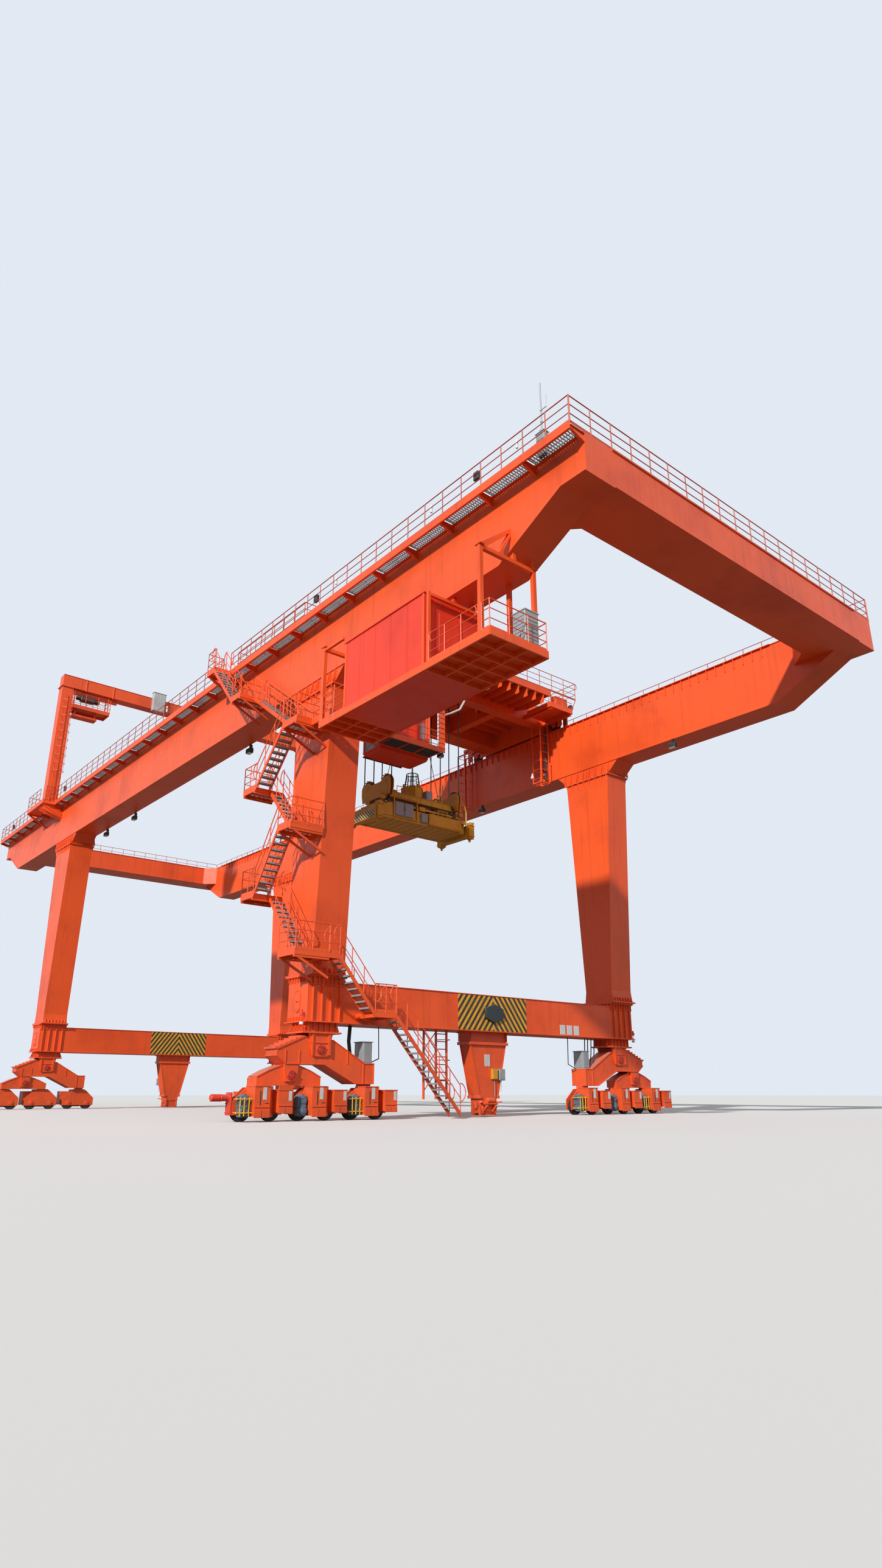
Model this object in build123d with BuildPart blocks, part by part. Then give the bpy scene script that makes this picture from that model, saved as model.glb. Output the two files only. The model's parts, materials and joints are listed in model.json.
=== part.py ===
from math import cos, pi, sin
import os

from build123d import *

# Rail-mounted gantry crane, as a 1:2 scale model: every length below is half of the real one.
# Millimetres, Z up, X along the main girders, Y along the rails.
# The origin is on the level of the wheel bottoms, in the middle of the four corners.
# The near end is at +X, the left girder at -Y.

# Main frame
RAIL_SPAN = 15850
OVERHANG = 7525
GIRDER_SPACING = 8440
GIRDER_WIDTH = 665
GIRDER_DEPTH = 1440
GIRDER_TOP = 10070
END_DEPTH = 720
END_FLAT = 515
HAUNCH_RUN = 1425
TIE_WIDTH = 1030
GUSSET = 420
RUNWAY_INSET = 220
RUNWAY_RAIL_HEIGHT = 65
RUNWAY_RAIL_WIDTH = 60

# Legs, their bases and the sill beams
HEAD_HEIGHT = 300
HEAD_FLARE = 332
LEG_HEAD_LENGTH = 1420
LEG_FOOT_LENGTH = 810
LEG_WIDTH = 720
FOOT_FLARE_HEIGHT = 260
SILL_BOTTOM = 1690
SILL_DEPTH = 755
SILL_WIDTH = 690
BASE_HEIGHT = 845
BASE_HALF_LENGTH = 388
FLANGE = 30
FLANGE_LIP = 45
RIB = 14
SUPPORT_TOP_WIDTH = 1090
SUPPORT_FOOT_WIDTH = 525
SUPPORT_THICKNESS = 330
SUPPORT_FOOT_Z = 400
SUPPORT_JOINT_Z = 1460
CLAMP_HEIGHT = 330
FLOOR_GAP = 30

# Travel gear
WHEEL_PITCH = 567
WHEEL_RADIUS = 179
TREAD_RADIUS = 166
WHEEL_WIDTH = 84
WHEEL_SIDES = 8
HUB_SIDES = 4
PIN_SIDES = 8
FLANGE_RIM = 15
HUB_RADIUS = 60
SIDE_PLATE = 22
SIDE_GAP = 62
BOGIE_BOTTOM = 110
BOGIE_SHOULDER = 330
BOGIE_TOP = 560
BOGIE_HALF = 480
BOGIE_CREST = 220
BOGIE_POST = 180
BOGIE_POST_BOTTOM = 150
SADDLE = 30
SADDLE_LENGTH = 220
ARM_SADDLE = 65
SUB_PIN_Z = 770
MAIN_PIN_Z = 1220
MAIN_WIDTH = 400
SUB_WIDTH = 300
CHEEK = 36
PIN_RADIUS = 62
PIN_CLEARANCE = 1
PIN_CAP = 24
NECK_DEPTH = 190
NECK_LENGTH = 660
NECK_CHEEK = (260, 145)
CHEEK_BELOW_PIN = 125
SUB_CHEEK = (150, 110)

# Outline of the main equalizer, from its pin, and of the sub-equalizer, from its own
ARM_CREST = 220
ARM_CREST_INNER = 290
ARM_CREST_OUTER = (260, 330)
ARM_CREST_FALL = 50
ARM_BELLY = 260
ARM_HEEL = 120
SHORT_ARM = 880
SHORT_ARM_BEND = 700
SHORT_ARM_TIP = (120, 10)
LONG_ARM_KNEE = 800
LONG_ARM_OVER = 86
SHELF_DROP = 230
SHELF_LENGTH = 210
SUB_CREST = (160, 170)
SUB_SHOULDER = (420, 80)
SUB_TIP = (650, 30)

# Guards, gear units and buffers
GUARD_LENGTH = 740
GUARD_WIDTH = 330
GUARD_TOP = 580
GUARD_BOTTOM = 90
GUARD_STEP = 60
GUARD_CLEARANCE = 12
GEAR_WIDTH = 190
GEAR_LENGTH = 250
GEAR_BOTTOM = 60
GEAR_TOP = 450
GEAR_OFFSET = 60
BUFFER_RADIUS = 62
BUFFER_LENGTH = 330
BUFFER_Z = 390
BUFFER_PLATE = 40
BUFFER_PLATE_TOP = 480

# Cabinets: on the equalizers, on the portal and beside the electrical house, and the antenna's box
CABINET = (300, 200, 410)
CABINET_INSET = 105
PORTAL_BOX = (170, 480, 760)
PORTAL_BOX_Y = -1870
PORTAL_BOX_DROP = 100
COOLER = (280, 300, 700)
COOLER_INSET = (100, 90)
MAST_BOX = (180, 110, 420)
MAST_HEIGHT = 1430
MAST_INSET = 780
MAST_SETBACK = 90

# Walkways and handrails
WALK_WIDTH = 325
WALK_DECK = 40
EDGE_DEPTH = 110
BRACKET_PITCH = 1030
RAIL_HEIGHT = 520
RAIL_BAR = 20
POST_PITCH = 3090
PLATFORM_REACH = 715
STAIR_HEAD = (-3925, -3525)
PORTAL_BAY = (-1580, 260)

# Stairs beside the near left leg: each landing from and to, along X from the middle of the leg
STAIR_REACH = 750
STAIR_WIDTH = 330
STRINGER = 20
STRINGER_DEPTH = 100
TREAD_RISE = 110
TREAD_DEPTH = 110
TREAD = 15
LANDING_DEPTH = 90
GALLERY_DROP = 1220
GALLERY = (-2405, -1975)
HOUSE_STEP = 380
HOUSE_LANDING = (25, 575)
UPPER_LANDING = (-1450, -950)
MIDDLE_LANDING = (75, 575)
LOWER_LANDING = (-1225, -725)
BASE_LANDING = (375, 975)
LANDING_SHARES = (0.77, 0.529, 0.28)
BASE_STEP = 325
FRONT_LANE_OUT = 975
FRONT_STEP = 185
FRONT_RUN = 820
FRONT_LANDING = 480
LAST_RUN = 1570

# Electrical house under the left girder
HOUSE_CLEARANCE = 298
HOUSE_FAR_BAY = 810
HOUSE_LENGTH = 2350
HOUSE_NEAR_BAY = 1575
HOUSE_REACH = 698
HOUSE_INSET = 112
HOUSE_HEIGHT = 1440
HOUSE_GAP = 255
FRAME_POST = 70
FLOOR_PLATE = 20
FLOOR_BEAM = 30
FLOOR_BAYS = (5, 3)
FRAME_SETBACK = 195
BRACKET_RISE = 500
BRACKET_BRACE = 310
BACK_POST = 740

# Service portal over the trolley runway
PORTAL_OFFSET = 1035
PORTAL_POST = 400
PORTAL_HEIGHT = 4860
PORTAL_BEAM_DEPTH = 450
PORTAL_REACH = 760
HOIST_PLATFORM_LENGTH = 1350
HOIST_PLATFORM_WIDTH = 600
HOIST_PLATFORM_DROP = 680
HANGER_INSET = (80, 50)
HANGER_SPREAD = 300
TRAY_LENGTH = 960
TRAY_DEPTH = 70
TRAY_DROP = 260
PORTAL_SETBACK = 132

# Trolley
TROLLEY_X = 5150
TROLLEY_WHEEL_RADIUS = 150
TROLLEY_WHEEL_WIDTH = 60
TROLLEY_WHEEL_BASE = 3250
TROLLEY_NOSE = 350
SIDE_BEAM_DEPTH = 350
SIDE_BEAM_WIDTH = 230
NEAR_BEAM = (1050, 1325)
FAR_BEAM = (-1350, -800)
CROSS_BEAM_DROP = 155
LONG_BEAM_Y = 2250
LONG_BEAM_WIDTH = 200
LONG_BEAM_RISE = 60
AXLE_PLATE = (160, 22)
AXLE_GAP = 12
AXLE_DROP = 60
AXLE_HUB = 50
WHEEL_CLEARANCE = 20
STRINGER_WIDTH = 90
OUTRIGGERS = (50, 550)
OUTRIGGER_DEPTH = 200
BRACE_START = (750, 640)
BRACE_END = (600, 720)
BRACE_Z = (260, 100)
TROLLEY_DECK = 30
MACHINERY_LENGTH = 2200
MACHINERY_WIDTH = 3000
MACHINERY_HEIGHT = 1250
MACHINERY_SHIFT = (-100, -300)
WALKWAY_NOSE = 2400
WALKWAY_DROP = 105
CORNER_PLATFORM = 870
CORNER_PLATFORM_X = 1500
CORNER_DEPTH = 175
CORNER_CLEARANCE = 15
CORNER_BEAM_INSET = 60
CORNER_BEAM_DEPTH = 100
TOWER_DROP = 1765
TOWER_Y = 3640
TOWER_SIDE = 330
TOWER_POST = 30
TOWER_LEVELS = 5
TOWER_NEAR = 1340
TOWER_FAR = -1850

# Operator's cab and its access platform
CAB_BOTTOM = 8050
CAB_HEIGHT = 1150
CAB_LENGTH = 1400
CAB_WIDTH = 700
CAB_Y = -1400
CAB_FROM_CENTRE = 1000
ACCESS_WIDTH = 550
HANGER_POST = 60
HANGER_DEPTH = 90

# Spreader
HOIST_OFFSET = 200
SPREADER_BOTTOM = 6620
SPREADER_LENGTH = 2660
SPREADER_WIDTH = 1000
SPREADER_DEPTH = 440
FRAME_PLATE = 40
CABINET_RECESS = 90
CABINET_BAY = (-620, 60)
TWISTLOCK_DROP = 190
TWISTLOCK_X = 565
TWISTLOCK_Y = 1463
TWISTLOCK_RADIUS = 28
END_BEAM_WIDTH = 160
END_BEAM_DROP = 60
ARM_WIDTH = 120
ARM_DEPTH = 200
ARM_SEAT = 0.3
ARM_GAP = 6
ARM_STROKE = 1530
ARM_OVERLAP = 300
LANE_INNER_X = 150
LANE_OUTER_X = 330
HEAD_LIFT = 150
HEAD_DEPTH = 160
HEAD_WIDTH = 760
HEAD_LENGTH = 2300
HEAD_LEG = 120
SHEAVE_X = 380
SHEAVE_RADIUS = 190
SHEAVE_WIDTH = 70
SHEAVE_GAP = 20
SHEAVE_SIDES = 16
HUMP = 40
BASKET_RADIUS = 265
BASKET_HEIGHT = 340
BASKET_NECK = 200
BASKET_MOUTH = 145
BASKET_RISE = 400
BASKET_BAR = 16
ROPE = 20

half_length = RAIL_SPAN / 2 + OVERHANG
girder_y = GIRDER_SPACING / 2
inner_y = girder_y - GIRDER_WIDTH / 2
outer_y = girder_y + GIRDER_WIDTH / 2
runway_y = girder_y - RUNWAY_INSET
girder_bottom = GIRDER_TOP - GIRDER_DEPTH
end_bottom = GIRDER_TOP - END_DEPTH
rail_x = RAIL_SPAN / 2
sill_top = SILL_BOTTOM + SILL_DEPTH
base_top = SILL_BOTTOM + BASE_HEIGHT
head_bottom = girder_bottom - HEAD_HEIGHT
walk_edge = outer_y + WALK_WIDTH
wide_edge = outer_y + PLATFORM_REACH
CORNERS = [(sx, sy) for sx in (1, -1) for sy in (-1, 1)]

os.makedirs("parts", exist_ok=True)


def keep(name, solids):
    """Join the solids of a piece in one step, label it and write its STEP file."""
    with BuildPart() as piece:
        add(solids)
    piece.part.label = name
    export_step(piece.part, f"parts/{name}.step")


def block(x, y, z):
    """A block between two values on each axis, in either order."""
    corner = tuple(min(pair) for pair in (x, y, z))
    return Solid.make_box(*(abs(b - a) for a, b in (x, y, z)), Plane(corner))


def span(centre, width):
    """Low and high of a width about a centre."""
    return (centre - width / 2, centre + width / 2)


def prism(points, push):
    """A closed outline of points in space, pushed along a vector."""
    return Solid.extrude(Face(Wire.make_polygon([Vector(*p) for p in points])), Vector(*push))


def side_plate(points, x_low, x_high):
    """A closed outline of (y, z) points, pushed along X."""
    return prism([(x_low, y, z) for y, z in points], (x_high - x_low, 0, 0))


def long_plate(points, y_low, y_high):
    """A closed outline of (x, z) points, pushed along Y."""
    return prism([(x, y_low, z) for x, z in points], (0, y_high - y_low, 0))


def floor_plate(points, z_low, z_high):
    """A closed outline of (x, y) points, pushed upwards."""
    return prism([(x, y, z_low) for x, y in points], (0, 0, z_high - z_low))


def ring(apothem, sides, across=0, up=0):
    """The corners of a regular polygon with a flat side at the bottom."""
    radius = apothem / cos(pi / sides)
    turns = [(i + 0.5) * 2 * pi / sides for i in range(sides)]
    return [(across + radius * sin(turn), up - radius * cos(turn)) for turn in turns]


def pin_x(apothem, y, z, x_low, x_high, sides=PIN_SIDES):
    """A pin along X with flat sides."""
    return side_plate(ring(apothem, sides, y, z), x_low, x_high)


def at(solids, x, y, turn=0):
    """Copies of solids, turned about Z and moved."""
    return [solid.moved(Location((x, y, 0), (0, 0, turn))) for solid in solids]


def at_corners(solids):
    """Copies at the four corners: +Y of the template points along the rail, away from the middle."""
    return [
        copy
        for sx, sy in CORNERS
        for copy in at(solids, sx * rail_x, sy * girder_y, 0 if sy > 0 else 180)
    ]


def at_ends(solids):
    """Copies at both ends: +X of the template points away from the middle."""
    return at(solids, 0, 0) + at(solids, 0, 0, 180)


# Box girders with a haunch at each end
haunch_end = half_length - END_FLAT
haunch_start = haunch_end - HAUNCH_RUN
girder_outline = [
    (-half_length, GIRDER_TOP),
    (half_length, GIRDER_TOP),
    (half_length, end_bottom),
    (haunch_end, end_bottom),
    (haunch_start, girder_bottom),
    (-haunch_start, girder_bottom),
    (-haunch_end, end_bottom),
    (-half_length, end_bottom),
]
keep("girder_left", [long_plate(girder_outline, -outer_y, -inner_y)])
keep("girder_right", [long_plate(girder_outline, inner_y, outer_y)])

# Tie beams that close the frame at both ends, with a gusset in each inner corner
tie_inner = half_length - TIE_WIDTH
keep("tie_beams", at_ends([block((tie_inner, half_length), (-inner_y, inner_y), (end_bottom, GIRDER_TOP))]))

near_gussets = [
    floor_plate(
        [(tie_inner, side * inner_y), (tie_inner - GUSSET, side * inner_y), (tie_inner, side * (inner_y - GUSSET))],
        end_bottom,
        GIRDER_TOP,
    )
    for side in (-1, 1)
]
keep("corner_gussets", at_ends(near_gussets))

# Runway rails on the girders
foot = RUNWAY_RAIL_WIDTH / 2
head = foot * 0.6
foot_top = RUNWAY_RAIL_HEIGHT * 0.25
rail_outline = [(-foot, 0), (foot, 0), (foot, foot_top), (head, foot_top), (head, RUNWAY_RAIL_HEIGHT)]
rail_outline += [(-y, z) for y, z in reversed(rail_outline[2:])]
keep(
    "trolley_rails",
    [
        side_plate([(side * runway_y + y, GIRDER_TOP + z) for y, z in rail_outline], -haunch_end, haunch_end)
        for side in (-1, 1)
    ],
)

# Tapered box legs with a ribbed head under the girder and a flared foot
foot_z = base_top + FLANGE + FOOT_FLARE_HEIGHT
head_half = LEG_HEAD_LENGTH / 2
foot_half = LEG_FOOT_LENGTH / 2
flange_y = LEG_WIDTH / 2 + FLANGE_LIP
HEAD_RIBS = 5
leg = [
    long_plate(
        [
            (-head_half, head_bottom),
            (head_half, head_bottom),
            (foot_half, foot_z),
            (foot_half + FLANGE_LIP, base_top),
            (-foot_half - FLANGE_LIP, base_top),
            (-foot_half, foot_z),
        ],
        -LEG_WIDTH / 2,
        LEG_WIDTH / 2,
    ),
    long_plate(
        [
            (-head_half - HEAD_FLARE, girder_bottom),
            (head_half + HEAD_FLARE, girder_bottom),
            (head_half, head_bottom),
            (-head_half, head_bottom),
        ],
        -GIRDER_WIDTH / 2,
        GIRDER_WIDTH / 2,
    ),
    block(span(0, LEG_HEAD_LENGTH + 2 * FLANGE_LIP), span(0, 2 * flange_y), (head_bottom - FLANGE, head_bottom)),
    block(span(0, LEG_FOOT_LENGTH + 4 * FLANGE_LIP), span(0, 2 * flange_y), (base_top, base_top + FLANGE)),
]
for i in range(HEAD_RIBS):
    rib_x = (i - (HEAD_RIBS - 1) / 2) * LEG_HEAD_LENGTH / HEAD_RIBS
    for face in (-1, 1):
        leg.append(
            side_plate(
                [
                    (face * GIRDER_WIDTH / 2, head_bottom),
                    (face * flange_y, head_bottom),
                    (face * GIRDER_WIDTH / 2, girder_bottom),
                ],
                rib_x - RIB / 2,
                rib_x + RIB / 2,
            )
        )
for sx, sy in CORNERS:
    name = "leg_" + ("near" if sx > 0 else "far") + ("_left" if sy < 0 else "_right")
    keep(name, at(leg, sx * rail_x, sy * girder_y))

# Ribbed base boxes between the legs and the travel gear
sill_half = SILL_WIDTH / 2
base = [
    block(span(0, SILL_WIDTH), span(0, 2 * BASE_HALF_LENGTH), (SILL_BOTTOM, base_top - FLANGE)),
    block(
        span(0, SILL_WIDTH + 2 * FLANGE_LIP),
        span(0, 2 * (BASE_HALF_LENGTH + FLANGE_LIP)),
        (base_top - FLANGE, base_top),
    ),
]
for step in (-0.75, -0.25, 0.25, 0.75):
    for face in (-1, 1):
        base.append(
            block(
                (face * sill_half, face * (sill_half + FLANGE_LIP)),
                span(step * BASE_HALF_LENGTH, RIB),
                (SILL_BOTTOM, base_top - FLANGE),
            )
        )
keep("leg_bases", at_corners(base))

# Sill beams between the bases, with a tapered support and a rail clamp in the middle
sill_end = girder_y - BASE_HALF_LENGTH
keep("sill_beams", at_ends([block(span(rail_x, SILL_WIDTH), (-sill_end, sill_end), (SILL_BOTTOM, sill_top))]))

support_x = span(rail_x, SUPPORT_THICKNESS)
support_top = SUPPORT_TOP_WIDTH / 2
support_foot = SUPPORT_FOOT_WIDTH / 2
joint_y = support_top - FLANGE_LIP
support = [
    side_plate(
        [(-support_top, SILL_BOTTOM), (support_top, SILL_BOTTOM), (joint_y, SUPPORT_JOINT_Z), (-joint_y, SUPPORT_JOINT_Z)],
        *support_x,
    ),
    side_plate(
        [
            (-joint_y, SUPPORT_JOINT_Z),
            (joint_y, SUPPORT_JOINT_Z),
            (support_foot, SUPPORT_FOOT_Z),
            (-support_foot, SUPPORT_FOOT_Z),
        ],
        *support_x,
    ),
    block(
        span(rail_x, SUPPORT_THICKNESS + 2 * FLANGE_LIP),
        (-support_top, support_top),
        span(SUPPORT_JOINT_Z, 2 * FLANGE),
    ),
]
keep("sill_supports", at_ends(support))

jaw_y = support_foot - FLANGE_LIP
jaw_top = SUPPORT_FOOT_Z - CLAMP_HEIGHT / 2
clamp = [block(support_x, (-jaw_y, jaw_y), (jaw_top, SUPPORT_FOOT_Z))]
for face in (-1, 1):
    jaw_x = span(rail_x + face * SUPPORT_THICKNESS / 3, SUPPORT_THICKNESS / 5)
    clamp.append(block(jaw_x, (-jaw_y, jaw_y), (FLOOR_GAP, jaw_top)))
keep("rail_clamps", at_ends(clamp))

# Ribbed necks with two cheeks that carry the main equalizers
neck_bottom = SILL_BOTTOM - NECK_DEPTH
neck_x = MAIN_WIDTH / 2 + CHEEK
main_pin_half = MAIN_WIDTH / 2 + CHEEK + PIN_CLEARANCE
clevis = [
    block((-neck_x, neck_x), span(0, NECK_LENGTH), (neck_bottom + FLANGE, SILL_BOTTOM)),
    block(
        (-neck_x - FLANGE_LIP, neck_x + FLANGE_LIP),
        span(0, NECK_LENGTH + 4 * FLANGE_LIP),
        (neck_bottom, neck_bottom + FLANGE),
    ),
]
main_bore = pin_x(PIN_RADIUS, 0, MAIN_PIN_Z, -main_pin_half, main_pin_half)
for face in (-1, 1):
    cheek = side_plate(
        [
            (-NECK_CHEEK[0], neck_bottom),
            (NECK_CHEEK[0], neck_bottom),
            (NECK_CHEEK[1], MAIN_PIN_Z - CHEEK_BELOW_PIN),
            (-NECK_CHEEK[1], MAIN_PIN_Z - CHEEK_BELOW_PIN),
        ],
        face * (MAIN_WIDTH / 2 + PIN_CLEARANCE),
        face * main_pin_half,
    )
    clevis.append(cheek - main_bore)
keep("equalizer_clevises", at_corners(clevis))

# Main equalizers: one long arm down to the inner bogie, one short arm to the sub-equalizer
bogie_reach = 2 * WHEEL_PITCH
sub_centre = WHEEL_PITCH
arm_foot_z = BOGIE_TOP + ARM_SADDLE
arm_foot_y = bogie_reach + LONG_ARM_OVER
arm_belly = MAIN_PIN_Z - ARM_BELLY
arm_crest = MAIN_PIN_Z + ARM_CREST
shelf_z = MAIN_PIN_Z - SHELF_DROP
main_body = side_plate(
    [
        (SHORT_ARM, MAIN_PIN_Z - SHORT_ARM_TIP[1]),
        (SHORT_ARM, MAIN_PIN_Z - SHORT_ARM_TIP[0]),
        (SHORT_ARM_BEND, arm_belly),
        (-ARM_HEEL, arm_belly),
        (-LONG_ARM_KNEE, arm_foot_z),
        (-arm_foot_y, arm_foot_z),
        (-arm_foot_y, shelf_z),
        (-arm_foot_y + SHELF_LENGTH, shelf_z),
        (-ARM_CREST_INNER, arm_crest - ARM_CREST_FALL),
        (ARM_CREST_OUTER[0], arm_crest),
        (ARM_CREST_OUTER[1], arm_crest),
    ],
    -MAIN_WIDTH / 2,
    MAIN_WIDTH / 2,
)
sub_bore = pin_x(PIN_RADIUS + PIN_CLEARANCE, sub_centre, SUB_PIN_Z, -MAIN_WIDTH / 2, MAIN_WIDTH / 2)
equalizer = [main_body - pin_x(PIN_RADIUS + PIN_CLEARANCE, 0, MAIN_PIN_Z, -MAIN_WIDTH / 2, MAIN_WIDTH / 2)]
for face in (-1, 1):
    cheek = side_plate(
        [
            (sub_centre - SUB_CHEEK[0], arm_belly),
            (sub_centre + SUB_CHEEK[0], arm_belly),
            (sub_centre + SUB_CHEEK[1], SUB_PIN_Z - SUB_CHEEK[1]),
            (sub_centre - SUB_CHEEK[1], SUB_PIN_Z - SUB_CHEEK[1]),
        ],
        face * (SUB_WIDTH / 2 + PIN_CLEARANCE),
        face * MAIN_WIDTH / 2,
    )
    equalizer.append(cheek - sub_bore)
keep("main_equalizers", at_corners(equalizer))

sub_foot_z = BOGIE_TOP + SADDLE
sub_outline = [
    (SUB_TIP[0], sub_foot_z),
    (SUB_TIP[0], SUB_PIN_Z - SUB_TIP[1]),
    (SUB_SHOULDER[0], SUB_PIN_Z + SUB_SHOULDER[1]),
    (SUB_CREST[0], SUB_PIN_Z + SUB_CREST[1]),
]
sub_outline += [(-y, z) for y, z in reversed(sub_outline)]
sub_body = side_plate([(sub_centre + y, z) for y, z in sub_outline], -SUB_WIDTH / 2, SUB_WIDTH / 2)
keep("sub_equalizers", at_corners([sub_body - sub_bore]))

pins = []
for pin_y, pin_z, half in ((0, MAIN_PIN_Z, main_pin_half), (sub_centre, SUB_PIN_Z, MAIN_WIDTH / 2)):
    pins.append(pin_x(PIN_RADIUS, pin_y, pin_z, -half, half))
    for face in (-1, 1):
        pins.append(pin_x(PIN_RADIUS + PIN_CAP, pin_y, pin_z, face * half, face * (half + PIN_CAP)))
keep("pivot_pins", at_corners(pins))

# Two-wheel bogies: two side plates and a cross box that carries the equalizer's foot
bogie_outline = [(BOGIE_HALF, BOGIE_BOTTOM), (BOGIE_HALF, BOGIE_SHOULDER), (BOGIE_CREST, BOGIE_TOP)]
bogie_outline += [(-y, z) for y, z in reversed(bogie_outline)]


def bogie(y, saddle):
    """One bogie about a place along the rail, with a saddle of its own height."""
    plates = [
        side_plate([(y + across, z) for across, z in bogie_outline], face * SIDE_GAP, face * (SIDE_GAP + SIDE_PLATE))
        for face in (-1, 1)
    ]
    post = block((-SIDE_GAP, SIDE_GAP), span(y, BOGIE_POST), (BOGIE_POST_BOTTOM, BOGIE_TOP))
    seat = block(span(0, 2 * (SIDE_GAP + SIDE_PLATE)), span(y, SADDLE_LENGTH), (BOGIE_TOP, BOGIE_TOP + saddle))
    return [*plates, post, seat]


keep("bogies", at_corners(bogie(-bogie_reach, ARM_SADDLE) + bogie(0, SADDLE) + bogie(bogie_reach, SADDLE)))

half_wheel = WHEEL_WIDTH / 2
wheel = [
    pin_x(HUB_RADIUS, 0, WHEEL_RADIUS, -SIDE_GAP, SIDE_GAP, HUB_SIDES),
    pin_x(TREAD_RADIUS, 0, WHEEL_RADIUS, -half_wheel, half_wheel, WHEEL_SIDES),
    pin_x(WHEEL_RADIUS, 0, WHEEL_RADIUS, -half_wheel, -half_wheel + FLANGE_RIM, WHEEL_SIDES),
    pin_x(WHEEL_RADIUS, 0, WHEEL_RADIUS, half_wheel - FLANGE_RIM, half_wheel, WHEEL_SIDES),
]
wheel_places = [(k * bogie_reach + step * WHEEL_PITCH) for k in (-1, 0, 1) for step in (-0.5, 0.5)]
with BuildPart() as one_wheel:
    add(wheel)
keep("wheels", at_corners([copy for y in wheel_places for copy in at([one_wheel.solid()], 0, y)]))

# Drives and guard boxes on the outer side of every bogie
outer_face = SIDE_GAP + SIDE_PLATE
gear_y = -WHEEL_PITCH / 2 - GEAR_OFFSET
guard_y = gear_y + GEAR_WIDTH / 2 + GUARD_CLEARANCE
guard_split = guard_y + GUARD_LENGTH * 0.62
guard_out = outer_face + GUARD_WIDTH
bogie_places = [side * girder_y + k * bogie_reach for side in (-1, 1) for k in (-1, 0, 1)]
drive = [block((outer_face, outer_face + GEAR_LENGTH), span(gear_y, GEAR_WIDTH), (GEAR_BOTTOM, GEAR_TOP))]
guard = [
    floor_plate(
        [
            (outer_face, guard_y),
            (guard_out, guard_y),
            (guard_out, guard_y + GUARD_LENGTH * 0.4),
            (outer_face + GUARD_WIDTH * 0.4, guard_split),
            (outer_face, guard_split),
        ],
        GUARD_BOTTOM,
        GUARD_TOP,
    ),
    block(
        (outer_face, guard_out),
        (guard_split, guard_y + GUARD_LENGTH),
        (GUARD_BOTTOM + GUARD_STEP, GUARD_TOP - GUARD_STEP),
    ),
]
keep("drive_units", at_ends([copy for y in bogie_places for copy in at(drive, rail_x, y)]))
keep("guard_boxes", at_ends([copy for y in bogie_places for copy in at(guard, rail_x, y)]))

# Buffers at the outer end of each corner
buffer_y = bogie_reach + BOGIE_HALF
buffer_face = buffer_y + BUFFER_PLATE
buffer_plate = block((-outer_face, outer_face), (buffer_y, buffer_face), (BOGIE_BOTTOM, BUFFER_PLATE_TOP))
buffer = long_plate(ring(BUFFER_RADIUS, WHEEL_SIDES, 0, BUFFER_Z), buffer_face, buffer_face + BUFFER_LENGTH)
keep("rail_buffers", at_corners([buffer_plate, buffer]))

# Walkway along the outer side of the left girder, with wider platforms at the stair and the portal
portal_x = -(rail_x + PORTAL_OFFSET)
deck = GIRDER_TOP
bays = round(2 * half_length / BRACKET_PITCH)
walkway = [
    block((-half_length, half_length), (-walk_edge, -outer_y), (deck - WALK_DECK, deck)),
    block((-half_length, half_length), (-walk_edge, -walk_edge + RAIL_BAR), (deck - EDGE_DEPTH, deck - WALK_DECK)),
]
for i in range(bays + 1):
    x = -half_length + RIB + i * (2 * half_length - 2 * RIB) / bays
    walkway.append(
        side_plate(
            [
                (-outer_y, deck - WALK_DECK),
                (-walk_edge + RAIL_BAR, deck - WALK_DECK),
                (-walk_edge + RAIL_BAR, deck - EDGE_DEPTH),
                (-outer_y, deck - 2 * EDGE_DEPTH),
            ],
            x - RIB / 2,
            x + RIB / 2,
        )
    )
keep("girder_walkway", walkway)

stair_head = tuple(rail_x + offset for offset in STAIR_HEAD)
portal_bay = tuple(portal_x + offset for offset in PORTAL_BAY)
portal_y = outer_y + PORTAL_REACH - PORTAL_POST / 2 - PORTAL_SETBACK
portal_out = portal_y + PORTAL_POST / 2
platforms = [
    block(bay, (-wide_edge, -walk_edge), (deck - EDGE_DEPTH, deck)) for bay in (stair_head, portal_bay)
]
platforms.append(block(span(portal_x, 2 * PORTAL_POST), (outer_y, portal_out), (deck - EDGE_DEPTH, deck)))
keep("walkway_platforms", platforms)


# Handrails: posts with a top and a middle bar
def handrail(start, end, place, z, along_x=True):
    """A railing along X or Y at a fixed place across it."""
    length = abs(end - start)
    count = max(1, round(length / POST_PITCH))
    low = min(start, end)

    def bar(run, height):
        return block(run, span(place, RAIL_BAR), height) if along_x else block(span(place, RAIL_BAR), run, height)

    bars = [bar((start, end), (z + level - RAIL_BAR, z + level)) for level in (RAIL_HEIGHT / 2, RAIL_HEIGHT)]
    posts = [
        bar(span(low + RAIL_BAR / 2 + i * (length - RAIL_BAR) / count, RAIL_BAR), (z, z + RAIL_HEIGHT))
        for i in range(count + 1)
    ]
    return bars + posts


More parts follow.
